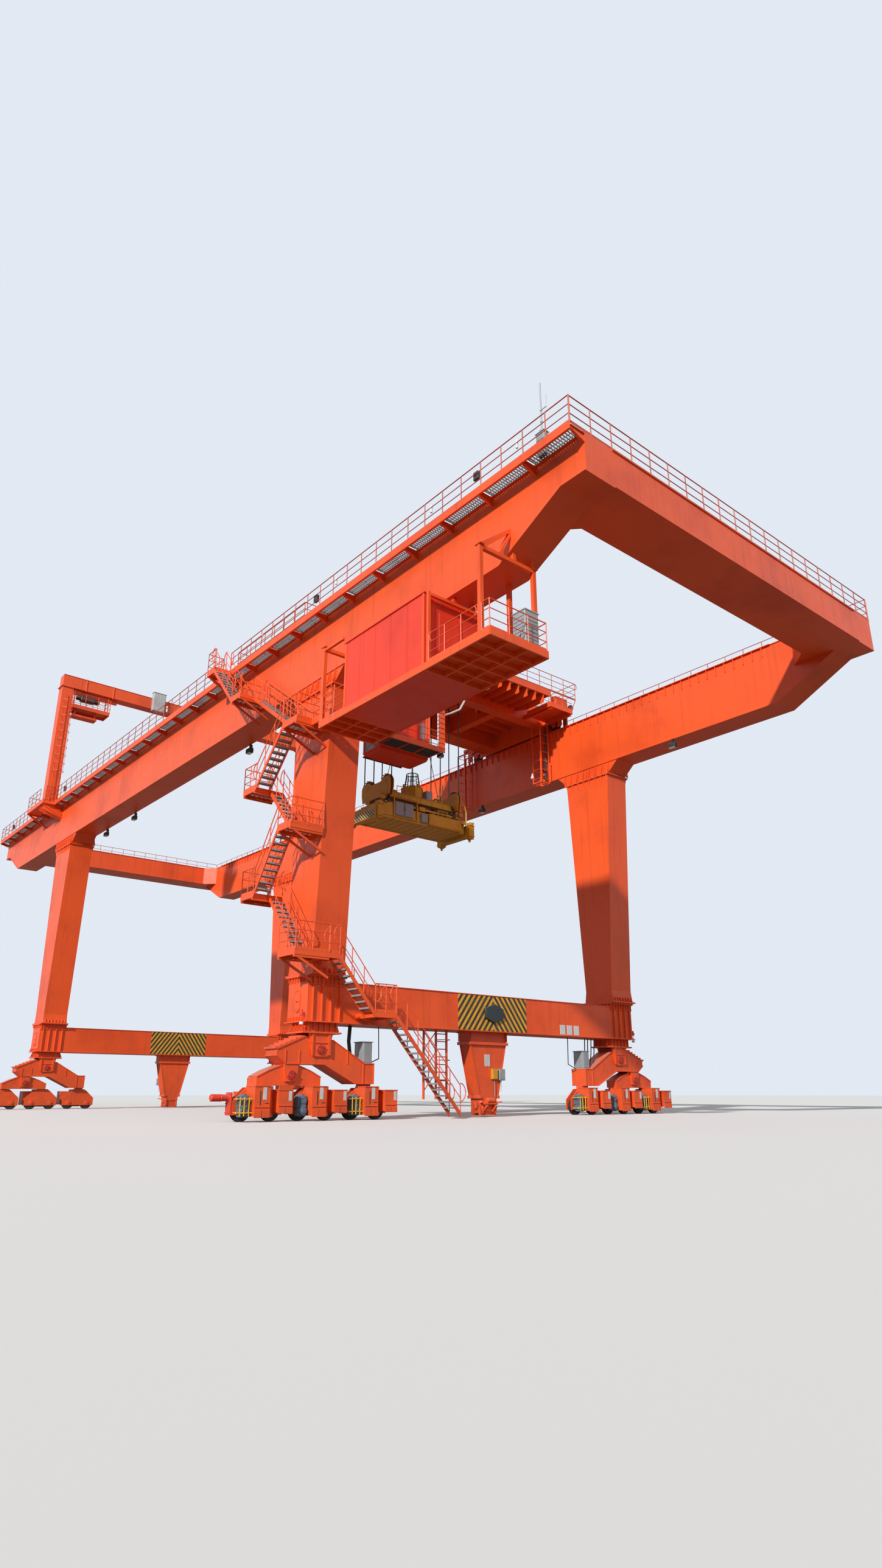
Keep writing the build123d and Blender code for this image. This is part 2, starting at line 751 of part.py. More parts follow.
left_rail = -(walk_edge - RAIL_BAR / 2)
wide_rail = -(wide_edge - RAIL_BAR / 2)
end_rail = half_length - RAIL_BAR / 2
keep(
    "girder_handrails",
    handrail(-half_length, portal_bay[0], left_rail, deck)
    + handrail(portal_bay[1], stair_head[0], left_rail, deck)
    + handrail(stair_head[1], half_length, left_rail, deck)
    + handrail(portal_bay[0], portal_x - PORTAL_POST / 2 - RAIL_BAR, wide_rail, deck)
    + handrail(-half_length, half_length, outer_y - RAIL_BAR / 2, deck)
    + handrail(-walk_edge, outer_y, end_rail, deck, along_x=False)
    + handrail(-walk_edge, outer_y, -end_rail, deck, along_x=False),
)

# Electrical house hung under the left girder, with a framed platform at each end
house_top = girder_bottom - HOUSE_GAP
house_bottom = house_top - HOUSE_HEIGHT
house_y = (-outer_y - HOUSE_REACH, -inner_y - HOUSE_INSET)
far_frame_x = rail_x + head_half + HEAD_FLARE + HOUSE_CLEARANCE
house_x = (far_frame_x + HOUSE_FAR_BAY, far_frame_x + HOUSE_FAR_BAY + HOUSE_LENGTH)
near_frame_x = house_x[1] + HOUSE_NEAR_BAY
floor_z = house_bottom + EDGE_DEPTH
hanger_y = (-outer_y + FRAME_POST, house_y[1] - FRAME_POST)
house = [block(house_x, house_y, (house_bottom, house_top))]
for x in (house_x[0] + 2 * FRAME_POST, house_x[1] - 2 * FRAME_POST):
    for y in hanger_y:
        house.append(block(span(x, FRAME_POST), span(y, FRAME_POST), (house_top, girder_bottom)))
keep("electrical_house", house)



def floor_grid(x, y, bays):
    """A floor plate on an open grid of beams, seen from below."""
    grid = [block(x, y, (floor_z - FLOOR_PLATE, floor_z))]
    for i in range(bays + 1):
        low = x[0] + i * (x[1] - x[0] - FLOOR_BEAM) / bays
        grid.append(block((low, low + FLOOR_BEAM), y, (house_bottom, floor_z - FLOOR_PLATE)))
    for i in range(FLOOR_BAYS[1] + 1):
        low = y[0] + i * (y[1] - y[0] - FLOOR_BEAM) / FLOOR_BAYS[1]
        grid.append(block(x, (low, low + FLOOR_BEAM), (house_bottom, floor_z - FLOOR_PLATE)))
    return grid


far_bays = round(FLOOR_BAYS[0] * HOUSE_FAR_BAY / HOUSE_NEAR_BAY)
keep(
    "house_platforms",
    floor_grid((far_frame_x, house_x[0]), house_y, far_bays)
    + floor_grid((house_x[1], near_frame_x), house_y, FLOOR_BAYS[0]),
)


def underside(x):
    """The height of the girder's underside, along the near haunch."""
    return girder_bottom + max(0, x - haunch_start) * (GIRDER_DEPTH - END_DEPTH) / HAUNCH_RUN


frames = []
near_posts = (near_frame_x - FRAME_SETBACK - FRAME_POST, near_frame_x - FRAME_SETBACK)
inner_post = (house_y[1] - FRAME_POST, house_y[1])
for x_pair in ((far_frame_x, far_frame_x + FRAME_POST), near_posts):
    for y_low in (house_y[0], inner_post[0]):
        frames.append(block(x_pair, (y_low, y_low + FRAME_POST), (floor_z, girder_bottom)))
    frames.append(block(x_pair, house_y, (girder_bottom - FRAME_POST, girder_bottom)))
for y in hanger_y:
    frames.append(
        long_plate(
            [
                (near_posts[0], girder_bottom - FRAME_POST),
                (near_posts[1], girder_bottom - FRAME_POST),
                (near_posts[1], underside(near_posts[1])),
                (near_posts[0], underside(near_posts[0])),
            ],
            *span(y, FRAME_POST),
        )
    )
bracket_z = girder_bottom + BRACKET_RISE
frames.append(
    side_plate(
        [
            (house_y[0], girder_bottom - FRAME_POST),
            (house_y[0] + FRAME_POST, girder_bottom - FRAME_POST),
            (-outer_y, bracket_z),
            (-outer_y, bracket_z + FRAME_POST),
            (house_y[0], girder_bottom),
        ],
        *near_posts,
    )
)
frames.append(
    side_plate(
        [
            (-outer_y - BRACKET_BRACE, girder_bottom - FRAME_POST),
            (-outer_y - BRACKET_BRACE + FRAME_POST, girder_bottom - FRAME_POST),
            (-outer_y, bracket_z - FRAME_POST),
            (-outer_y, bracket_z + FRAME_POST / 2),
        ],
        *near_posts,
    )
)
frames.append(block((house_x[1] + BACK_POST, house_x[1] + BACK_POST + FRAME_POST), inner_post, (floor_z, girder_bottom)))
keep("house_frames", frames)

keep(
    "house_handrails",
    handrail(far_frame_x + FRAME_POST, house_x[0], house_y[0] + RAIL_BAR / 2, floor_z)
    + handrail(house_x[1], near_posts[0], house_y[0] + RAIL_BAR / 2, floor_z)
    + handrail(near_posts[1], near_frame_x, house_y[0] + RAIL_BAR / 2, floor_z)
    + handrail(house_y[0] + RAIL_BAR, house_y[1], near_frame_x - RAIL_BAR / 2, floor_z, along_x=False),
)

# Stairs from the walkway down to the ground, zigzag beside the near left leg
stair_outer = outer_y + STAIR_REACH
outer_lane = (-stair_outer, -stair_outer + STAIR_WIDTH)
inner_lane = (-stair_outer + STAIR_WIDTH + RAIL_BAR, -outer_y - 90)
landing_inner = -girder_y - LEG_WIDTH / 2
house_z = floor_z + HOUSE_STEP
base_z = base_top + BASE_STEP
gallery_z = deck - GALLERY_DROP
upper_z, middle_z, lower_z = (base_z + share * (house_z - base_z) for share in LANDING_SHARES)


def landing(offsets, z, inner):
    """A landing from the outer edge of the stair in to the leg or to the inner lane."""
    return block((rail_x + offsets[0], rail_x + offsets[1]), (-stair_outer, inner), (z - LANDING_DEPTH, z))


front_lane = (rail_x + FRONT_LANE_OUT - STAIR_WIDTH - RAIL_BAR, rail_x + FRONT_LANE_OUT)
front_top_y = -girder_y + BASE_HALF_LENGTH - 518
front_mid_z = SILL_BOTTOM + FRONT_STEP
front_mid_y = front_top_y + FRONT_RUN
front_low_y = front_mid_y + FRONT_LANDING
landings = [
    landing(GALLERY, gallery_z, -outer_y),
    landing(HOUSE_LANDING, house_z, landing_inner),
    landing(UPPER_LANDING, upper_z, inner_lane[1]),
    landing(MIDDLE_LANDING, middle_z, landing_inner),
    landing(LOWER_LANDING, lower_z, inner_lane[1]),
    landing(BASE_LANDING, base_z, landing_inner),
    block((rail_x + HOUSE_LANDING[1], far_frame_x), (house_y[0] + 300, landing_inner), (house_z - LANDING_DEPTH, house_z)),
    block((rail_x + foot_half + FLANGE_LIP, front_lane[1]), (landing_inner, front_top_y), (base_z - LANDING_DEPTH, base_z)),
    block((rail_x + sill_half, front_lane[1]), (front_mid_y, front_low_y), (front_mid_z - LANDING_DEPTH, front_mid_z)),
]
keep("stair_landings", landings)

stringers = []
treads = []


def flight(start, end, lane, along_x=True):
    """A flight between two (place, height) points: two stringers and the treads between them."""
    points = [start, end, (end[0], end[1] - STRINGER_DEPTH), (start[0], start[1] - STRINGER_DEPTH)]
    plate = long_plate if along_x else side_plate
    for low in (lane[0], lane[1] - STRINGER):
        stringers.append(plate(points, low, low + STRINGER))
    steps = round((start[1] - end[1]) / TREAD_RISE)
    across = (lane[0] + STRINGER, lane[1] - STRINGER)
    for i in range(1, steps):
        run = span(start[0] + (end[0] - start[0]) * i / steps, TREAD_DEPTH)
        top = start[1] + (end[1] - start[1]) * i / steps - STRINGER_DEPTH / 4
        z = (top - TREAD, top)
        treads.append(block(run, across, z) if along_x else block(across, run, z))


flight((stair_head[1], deck), (rail_x + GALLERY[0], gallery_z), outer_lane)
flight((rail_x + GALLERY[1], gallery_z), (rail_x + HOUSE_LANDING[0], house_z), inner_lane)
flight((rail_x + HOUSE_LANDING[0], house_z), (rail_x + UPPER_LANDING[1], upper_z), outer_lane)
flight((rail_x + UPPER_LANDING[1], upper_z), (rail_x + MIDDLE_LANDING[0], middle_z), inner_lane)
flight((rail_x + MIDDLE_LANDING[0], middle_z), (rail_x + LOWER_LANDING[1], lower_z), outer_lane)
flight((rail_x + LOWER_LANDING[1], lower_z), (rail_x + BASE_LANDING[0], base_z), inner_lane)
flight((front_top_y, base_z), (front_mid_y, front_mid_z), front_lane, along_x=False)
flight((front_low_y, front_mid_z), (front_low_y + LAST_RUN, FLOOR_GAP + STRINGER_DEPTH), front_lane, along_x=False)
keep("stair_flights", stringers)
keep("stair_treads", treads)

stair_edge = -stair_outer + RAIL_BAR / 2
keep(
    "stair_handrails",
    [
        bar
        for offsets, z in (
            (GALLERY, gallery_z),
            (HOUSE_LANDING, house_z),
            (UPPER_LANDING, upper_z),
            (MIDDLE_LANDING, middle_z),
            (LOWER_LANDING, lower_z),
            (BASE_LANDING, base_z),
        )
        for bar in handrail(rail_x + offsets[0], rail_x + offsets[1], stair_edge, z)
    ]
    + handrail(front_mid_y, front_low_y, front_lane[1] - RAIL_BAR / 2, front_mid_z, along_x=False),
)

# Service portal across both girders, near the far end
portal_top = GIRDER_TOP + PORTAL_HEIGHT
beam_bottom = portal_top - PORTAL_BEAM_DEPTH
post_x = span(portal_x, PORTAL_POST)
keep("portal_columns", [block(post_x, span(side * portal_y, PORTAL_POST), (deck, beam_bottom)) for side in (-1, 1)])
keep("portal_beam", [block(post_x, (-portal_out, portal_out), (beam_bottom, portal_top))])

platform_y = -portal_y + PORTAL_POST / 2
platform_z = beam_bottom - HOIST_PLATFORM_DROP
hoist_platform = [
    block(
        span(portal_x, HOIST_PLATFORM_WIDTH),
        (platform_y, platform_y + HOIST_PLATFORM_LENGTH),
        (platform_z - TROLLEY_DECK, platform_z),
    )
]
tray_z = platform_z - TROLLEY_DECK - TRAY_DROP
hoist_platform.append(
    block(
        span(portal_x, HANGER_SPREAD + TOWER_POST),
        (platform_y + HANGER_INSET[0], platform_y + TRAY_LENGTH),
        (tray_z - TRAY_DEPTH, tray_z),
    )
)
for side in (-1, 1):
    hanger_x = span(portal_x + side * HANGER_SPREAD / 2, TOWER_POST)
    for y in (platform_y + HANGER_INSET[0], platform_y + HOIST_PLATFORM_LENGTH - HANGER_INSET[1]):
        hoist_platform.append(block(hanger_x, span(y, TOWER_POST), (platform_z, beam_bottom)))
    for y in (platform_y + 2 * HANGER_INSET[0], platform_y + TRAY_LENGTH - HANGER_INSET[0]):
        hoist_platform.append(block(hanger_x, span(y, TOWER_POST), (tray_z, platform_z - TROLLEY_DECK)))
keep("portal_platform", hoist_platform)

# Cabinets on the inner arms of the near equalizers, a box on the portal's beam and a cooler by the house
cabinet_y = girder_y - arm_foot_y + CABINET_INSET
cabinets = [
    block(
        span(rail_x, CABINET[0]),
        span(side * cabinet_y, CABINET[1]),
        (shelf_z, shelf_z + CABINET[2]),
    )
    for side in (-1, 1)
]
box_z = beam_bottom - PORTAL_BOX_DROP
cabinets.append(
    block(
        (post_x[1], post_x[1] + PORTAL_BOX[0]),
        (PORTAL_BOX_Y, PORTAL_BOX_Y + PORTAL_BOX[1]),
        (box_z, box_z + PORTAL_BOX[2]),
    )
)
cooler_x = near_frame_x - COOLER_INSET[0]
cooler_y = house_y[1] - COOLER_INSET[1]
cabinets.append(block((cooler_x - COOLER[0], cooler_x), (cooler_y - COOLER[1], cooler_y), (floor_z, floor_z + COOLER[2])))
keep("control_cabinets", cabinets)

# A box with a mast near the end of the walkway
mast_x = half_length - MAST_INSET
mast_y = -outer_y - MAST_SETBACK
box_top = deck + MAST_BOX[2]
keep(
    "antenna_mast",
    [
        block(span(mast_x, MAST_BOX[0]), span(mast_y, MAST_BOX[1]), (deck, box_top)),
        block(span(mast_x, RAIL_BAR), span(mast_y, RAIL_BAR), (box_top, deck + MAST_HEIGHT)),
    ],
)

# Trolley: wheels under two side beams, two cross beams, long beams and a brace between them
wheel_z = GIRDER_TOP + RUNWAY_RAIL_HEIGHT + TROLLEY_WHEEL_RADIUS
side_bottom = wheel_z + TROLLEY_WHEEL_RADIUS + WHEEL_CLEARANCE
side_top = side_bottom + SIDE_BEAM_DEPTH
cross_bottom = side_bottom - CROSS_BEAM_DROP
trolley_half = TROLLEY_WHEEL_BASE / 2 + TROLLEY_NOSE
cross_end = runway_y - SIDE_BEAM_WIDTH / 2
near_beam = tuple(TROLLEY_X + offset for offset in NEAR_BEAM)
far_beam = tuple(TROLLEY_X + offset for offset in FAR_BEAM)
trolley_frame = [
    block(near_beam, (-cross_end, cross_end), (cross_bottom, side_top)),
    block(far_beam, (-cross_end, cross_end), (cross_bottom, side_top)),
]
for side in (-1, 1):
    y = side * runway_y
    trolley_frame.append(block(span(TROLLEY_X, 2 * trolley_half), span(y, SIDE_BEAM_WIDTH), (side_bottom, side_top)))
    trolley_frame.append(
        block(
            (far_beam[1], near_beam[0]),
            span(side * LONG_BEAM_Y, LONG_BEAM_WIDTH),
            (cross_bottom + LONG_BEAM_RISE, side_top),
        )
    )
    for end in (-1, 1):
        x = TROLLEY_X + end * TROLLEY_WHEEL_BASE / 2
        for face in (-1, 1):
            plate_y = y + face * (TROLLEY_WHEEL_WIDTH / 2 + AXLE_GAP)
            trolley_frame.append(
                block(
                    span(x, AXLE_PLATE[0]),
                    (plate_y, plate_y + face * AXLE_PLATE[1]),
                    (wheel_z - AXLE_DROP, side_bottom),
                )
            )
for offset in OUTRIGGERS:
    trolley_frame.append(
        block(
            span(near_beam[0] - offset, STRINGER_WIDTH),
            (LONG_BEAM_Y, cross_end),
            (side_top - OUTRIGGER_DEPTH, side_top),
        )
    )
brace_y = LONG_BEAM_Y - LONG_BEAM_WIDTH / 2
trolley_frame.append(
    floor_plate(
        [
            (near_beam[0] - BRACE_START[0], brace_y),
            (near_beam[0] - BRACE_START[1], brace_y),
            (near_beam[0], brace_y - BRACE_END[0]),
            (near_beam[0], brace_y - BRACE_END[1]),
        ],
        side_top - BRACE_Z[0],
        side_top - BRACE_Z[1],
    )
)
keep("trolley_frame", trolley_frame)

wheels = []
for side in (-1, 1):
    for end in (-1, 1):
        spot = ring(TROLLEY_WHEEL_RADIUS, WHEEL_SIDES, TROLLEY_X + end * TROLLEY_WHEEL_BASE / 2, wheel_z)
        hub = ring(AXLE_HUB, HUB_SIDES, TROLLEY_X + end * TROLLEY_WHEEL_BASE / 2, wheel_z)
        wheels.append(long_plate(spot, *span(side * runway_y, TROLLEY_WHEEL_WIDTH)))
        wheels.append(long_plate(hub, *span(side * runway_y, TROLLEY_WHEEL_WIDTH + 2 * AXLE_GAP)))
keep("trolley_wheels", wheels)

deck_y = runway_y + SIDE_BEAM_WIDTH / 2
keep(
    "trolley_deck",
    [block((TROLLEY_X - trolley_half, near_beam[1]), (-deck_y, deck_y), (side_top, side_top + TROLLEY_DECK))],
)

house_z_low = side_top + TROLLEY_DECK
keep(
    "machinery_house",
    [
        block(
            span(TROLLEY_X + MACHINERY_SHIFT[0], MACHINERY_LENGTH),
            span(MACHINERY_SHIFT[1], MACHINERY_WIDTH),
            (house_z_low, house_z_low + MACHINERY_HEIGHT),
        )
    ],
)

# Walkway on the near side of the trolley, with a lower platform at its right corner
nose = TROLLEY_X + WALKWAY_NOSE
walkway_z = (side_top - WALKWAY_DROP, side_top)
corner_z = (cross_bottom, cross_bottom + CORNER_DEPTH)
corner_y = (cross_end - CORNER_CLEARANCE - CORNER_PLATFORM, cross_end - CORNER_CLEARANCE)
trolley_walkways = [
    block((near_beam[1], nose), (-corner_y[0], corner_y[0]), walkway_z),
    block((TROLLEY_X + CORNER_PLATFORM_X, nose), corner_y, corner_z),
]
for y in (corner_y[0] + CORNER_BEAM_INSET, corner_y[1] - CORNER_BEAM_INSET):
    trolley_walkways.append(
        block((near_beam[1], nose), span(y, STRINGER_WIDTH), (cross_bottom, cross_bottom + CORNER_BEAM_DEPTH))
    )
keep("trolley_walkways", trolley_walkways)

# Lattice towers that hang from the cross beams inside the right girder
towers = []
tower_low = cross_bottom - TOWER_DROP
half_side = (TOWER_SIDE - TOWER_POST) / 2
for offset, tie_x in ((TOWER_NEAR, near_beam[0] + 50), (TOWER_FAR, far_beam[0] + 50)):
    x = TROLLEY_X + offset
    for side in (-1, 1):
        for face in (-1, 1):
            towers.append(
                block(
                    span(x + side * half_side, TOWER_POST),
                    span(TOWER_Y + face * half_side, TOWER_POST),
                    (tower_low, cross_bottom - TOWER_POST),
                )
            )
        ends = (x - TOWER_SIDE / 2, x + TOWER_SIDE / 2, tie_x)
        towers.append(
            block(
                (min(ends), max(ends)),
                span(TOWER_Y + side * half_side, TOWER_POST),
                (cross_bottom - TOWER_POST, cross_bottom),
            )
        )
    for i in range(TOWER_LEVELS):
        z = tower_low + i * (TOWER_DROP - TOWER_POST) / TOWER_LEVELS
        for face in (-1, 1):
            towers.append(
                block(
                    span(x, TOWER_SIDE - 2 * TOWER_POST),
                    span(TOWER_Y + face * half_side, RAIL_BAR),
                    (z, z + RAIL_BAR),
                )
            )
            towers.append(
                block(
                    span(x + face * half_side, RAIL_BAR),
                    span(TOWER_Y, TOWER_SIDE - 2 * TOWER_POST),
                    (z, z + RAIL_BAR),
                )
            )
keep("side_ladders", towers)

# Operator's cab hung from the near cross beam, with an access platform beside it
cab_x = (TROLLEY_X + CAB_FROM_CENTRE, TROLLEY_X + CAB_FROM_CENTRE + CAB_WIDTH)
cab_y = span(CAB_Y, CAB_LENGTH)
cab_top = CAB_BOTTOM + CAB_HEIGHT
access_x = (cab_x[1], cab_x[1] + ACCESS_WIDTH)
hanger_z = cross_bottom - HANGER_DEPTH
keep("operator_cab", [block(cab_x, cab_y, (CAB_BOTTOM, cab_top))])

hanger = []
for y_low in (cab_y[0], cab_y[1] - HANGER_POST):
    pair = (y_low, y_low + HANGER_POST)
    hanger.append(block((cab_x[0], access_x[1]), pair, (hanger_z, cross_bottom)))
    for x in (cab_x[0] + HANGER_POST, cab_x[1] - HANGER_POST):
        hanger.append(block(span(x, HANGER_POST), pair, (cab_top, hanger_z)))
    hanger.append(block((access_x[1] - HANGER_POST, access_x[1]), pair, (CAB_BOTTOM + 100, hanger_z)))
hanger.append(block(access_x, cab_y, (CAB_BOTTOM + 100, CAB_BOTTOM + 150)))
keep("cab_hanger", hanger)

# Spreader frame: a long box with four lanes for the arms and a bay for the cabinets
hoist_x = TROLLEY_X + HOIST_OFFSET
frame_bottom = SPREADER_BOTTOM + TWISTLOCK_DROP
frame_top = frame_bottom + SPREADER_DEPTH
frame_half = SPREADER_LENGTH / 2
frame_side = hoist_x + SPREADER_WIDTH / 2
arm_bottom = frame_bottom + FRAME_PLATE + ARM_SEAT
arm_top = arm_bottom + ARM_DEPTH
frame_box = block(span(hoist_x, SPREADER_WIDTH), (-frame_half, frame_half), (frame_bottom, frame_top))
for lane in (-LANE_OUTER_X, -LANE_INNER_X, LANE_INNER_X, LANE_OUTER_X):
    frame_box -= block(
        span(hoist_x + lane, ARM_WIDTH + 2 * ARM_GAP),
        (-frame_half, frame_half),
        (frame_bottom + FRAME_PLATE, arm_top + ARM_GAP),
    )
frame_box -= block((frame_side - CABINET_RECESS, frame_side), CABINET_BAY, (frame_bottom + 2 * FRAME_PLATE, frame_top))
keep("spreader_frame", [frame_box])

for side, name in ((-1, "left"), (1, "right")):
    with BuildPart() as spreader_arm:
        add(
            [
                block(
                    span(hoist_x + lane, ARM_WIDTH),
                    (side * TWISTLOCK_Y, side * (frame_half - ARM_OVERLAP - ARM_STROKE)),
                    (arm_bottom, arm_top),
                )
                for lane in (side * LANE_OUTER_X, -side * LANE_INNER_X)
            ]
        )
        add(
            block(
                span(hoist_x, 2 * TWISTLOCK_X + END_BEAM_WIDTH),
                span(side * TWISTLOCK_Y, END_BEAM_WIDTH),
                (frame_bottom - END_BEAM_DROP, arm_top),
            )
        )
        with Locations(*[(hoist_x + lane * TWISTLOCK_X, side * TWISTLOCK_Y, SPREADER_BOTTOM) for lane in (-1, 1)]):
            Cylinder(
                TWISTLOCK_RADIUS,
                frame_bottom - END_BEAM_DROP - SPREADER_BOTTOM,
                align=(Align.CENTER, Align.CENTER, Align.MIN),
            )
    spreader_arm.part.label = "spreader_arm_" + name
    export_step(spreader_arm.part, f"parts/spreader_arm_{name}.step")

# Head block: a beam on legs over the frame, with a humped sheave housing across each end
head_low = frame_top + HEAD_LIFT
head_top = head_low + HEAD_DEPTH
sheave_z = head_top + SHEAVE_GAP + SHEAVE_RADIUS
housing_y = HEAD_LENGTH / 2 - SHEAVE_WIDTH / 2 - SIDE_PLATE
hump_out = SHEAVE_X + SHEAVE_RADIUS + HUMP
hump_top = sheave_z + SHEAVE_RADIUS * 0.6
hump_outline = [
    (hump_out - HUMP, head_low),
    (hump_out, head_top + HUMP),
    (hump_out, sheave_z),
    (hump_out - HUMP, sheave_z + 80),
    (SHEAVE_X + 80, hump_top),
    (SHEAVE_X - 80, hump_top),
    (SHEAVE_X - SHEAVE_RADIUS, sheave_z + 30),
]
hump_outline += [(-x, z) for x, z in reversed(hump_outline)]
head_block = [block(span(hoist_x, HEAD_WIDTH), (-HEAD_LENGTH / 2, HEAD_LENGTH / 2), (head_low, head_top))]
for side in (-1, 1):
    for x in (-1, 1):
        head_block.append(
            block(
                span(hoist_x + x * (HEAD_WIDTH - HEAD_LEG) / 2, HEAD_LEG),
                span(side * (HEAD_LENGTH - HEAD_LEG) / 2, HEAD_LEG),
                (frame_top, head_low),
            )
        )
    for face in (-1, 1):
        plate_y = side * housing_y + face * SHEAVE_WIDTH / 2
        head_block.append(
            long_plate([(hoist_x + x, z) for x, z in hump_outline], plate_y, plate_y + face * SIDE_PLATE)
        )
keep("head_block", head_block)

SHEAVES = [(hoist_x + lane * SHEAVE_X, side * housing_y) for side in (-1, 1) for lane in (-1, 1)]
keep(
    "rope_sheaves",
    [long_plate(ring(SHEAVE_RADIUS, SHEAVE_SIDES, x, sheave_z), *span(y, SHEAVE_WIDTH)) for x, y in SHEAVES],
)

# Cable basket: an eight-sided tub with a barred funnel over it
tub = ring(BASKET_RADIUS, 8)
neck = ring(BASKET_NECK, 8)
mouth = ring(BASKET_MOUTH, 8)
tub_top = head_top + BASKET_HEIGHT
mouth_z = tub_top + BASKET_RISE
basket = [floor_plate([(hoist_x + x, y) for x, y in tub], head_top, tub_top)]
half_bar = BASKET_BAR / 2
for low, high in zip(neck, mouth):
    foot_square = [
        (hoist_x + low[0] + dx, low[1] + dy, tub_top)
        for dx, dy in ((-half_bar, -half_bar), (half_bar, -half_bar), (half_bar, half_bar), (-half_bar, half_bar))
    ]
    basket.append(prism(foot_square, (high[0] - low[0], high[1] - low[1], BASKET_RISE)))
mouth_ring = floor_plate([(hoist_x + x, y) for x, y in ring(BASKET_MOUTH + half_bar, 8)], mouth_z - 30, mouth_z)
mouth_ring -= floor_plate([(hoist_x + x, y) for x, y in ring(BASKET_MOUTH - half_bar, 8)], mouth_z - 30, mouth_z)
basket.append(mouth_ring)
keep("cable_basket", basket)

keep(
    "hoist_ropes",
    [
        block(span(x + face * (SHEAVE_RADIUS + ROPE / 2), ROPE), span(y, ROPE), (sheave_z, side_top))
        for x, y in SHEAVES
        for face in (-1, 1)
    ],
)
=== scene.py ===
import json
from itertools import cycle, product
from math import cos, pi, radians, sin

import bpy
from mathutils import Matrix, Vector


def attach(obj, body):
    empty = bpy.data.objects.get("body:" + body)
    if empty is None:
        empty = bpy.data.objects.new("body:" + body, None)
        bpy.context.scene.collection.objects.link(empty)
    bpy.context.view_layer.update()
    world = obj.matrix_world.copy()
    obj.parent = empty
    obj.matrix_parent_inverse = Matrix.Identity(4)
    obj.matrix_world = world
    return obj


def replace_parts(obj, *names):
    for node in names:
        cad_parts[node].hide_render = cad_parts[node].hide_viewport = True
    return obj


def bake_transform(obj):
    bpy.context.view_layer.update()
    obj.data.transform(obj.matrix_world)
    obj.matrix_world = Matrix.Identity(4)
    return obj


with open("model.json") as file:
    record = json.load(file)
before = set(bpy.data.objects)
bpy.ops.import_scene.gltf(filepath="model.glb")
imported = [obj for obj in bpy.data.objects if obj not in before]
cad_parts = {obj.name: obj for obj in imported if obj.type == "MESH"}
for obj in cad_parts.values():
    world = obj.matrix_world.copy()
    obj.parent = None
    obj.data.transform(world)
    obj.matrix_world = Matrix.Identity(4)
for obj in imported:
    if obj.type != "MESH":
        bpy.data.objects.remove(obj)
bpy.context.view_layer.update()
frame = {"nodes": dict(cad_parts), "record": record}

# Stage: a pale floor on the level of the wheel bottoms under a plain pale sky. The camera stands low beside
# the near left corner and looks up at the whole crane.
FLOOR_REACH = 400.0
FLOOR_ROUGH = 0.9
FLOOR_SEEN = (0.84, 0.84, 0.82, 1.0)
FLOOR_BOUNCE = (0.22, 0.19, 0.155, 1.0)
SKY_LIGHT, SKY_POWER = (0.82, 0.83, 0.88, 1.0), 0.26
SKY_SEEN, SKY_GLOW = (0.80, 0.86, 0.95, 1.0), 0.95
CAMERA_PLACE = (22.62, -13.34, 0.46)
CAMERA_YAW = radians(39.646)
CAMERA_PITCH = radians(19.173)
LENS = 20.434
SENSOR = 36
FAR_CLIP = 1000
# Name, turn and breadth in degrees, and strength of each lamp.
LAMPS = (("key_lamp", (62, 0, 24.5), 1.8, 3.7), ("fill_lamp", (62, 0, 75), 40, 0.5))


def feed(made, inputs):
    """Values or wires into the sockets of a node: _0 is its first socket, Base_Color the one of that name."""
    for key, value in inputs.items():
        socket = made.inputs[int(key[1:])] if key[0] == "_" else made.inputs[key.replace("_", " ")]
        if isinstance(value, Wire):
            value.tree.links.new(value.socket, socket)
        else:
            socket.default_value = value


class Wire:
    """One output of a paint recipe: sums and products of wires and numbers add their own Math nodes."""

    def __init__(self, tree, socket):
        self.tree = tree
        self.socket = socket

    def node(self, kind, settings=None, out=0, **inputs):
        """Any other node: its type, its settings, and the values or wires of its sockets."""
        made = self.tree.nodes.new(kind)
        for key, value in (settings or {}).items():
            setattr(made, key, value)
        feed(made, inputs)
        return Wire(self.tree, made.outputs[out])

    def maths(self, operation, first, second=0):
        return self.node("ShaderNodeMath", {"operation": operation}, _0=first, _1=second)

    def __add__(self, other):
        return self.maths("ADD", self, other)

    def __sub__(self, other):
        return self.maths("SUBTRACT", self, other)

    def __rsub__(self, other):
        return self.maths("SUBTRACT", other, self)

    def __mul__(self, other):
        return self.maths("MULTIPLY", self, other)

    def __mod__(self, other):
        return self.maths("FLOORED_MODULO", self, other)

    __radd__, __rmul__ = __add__, __mul__

    def between(self, low, high):
        """0 at low rising to 1 at high."""
        return self.node("ShaderNodeMapRange", {"interpolation_type": "SMOOTHSTEP"}, _0=self, _1=low, _2=high)

    def tint(self, under, over):
        """under where the wire is 0, over where it is 1."""
        return self.node("ShaderNodeMix", {"data_type": "RGBA"}, 2, _0=self, _6=under, _7=over)

    def split(self, axis):
        """One part of a vector: 0 for x, 1 for y, 2 for z."""
        return self.node("ShaderNodeSeparateXYZ", out=axis, _0=self)


def plain(name, **inputs):
    """A new material with its shader, the shader's sockets set to the values given."""
    finish = bpy.data.materials.new(name)
    finish.use_nodes = True
    shader = finish.node_tree.nodes["Principled BSDF"]
    feed(shader, inputs)
    return finish, shader


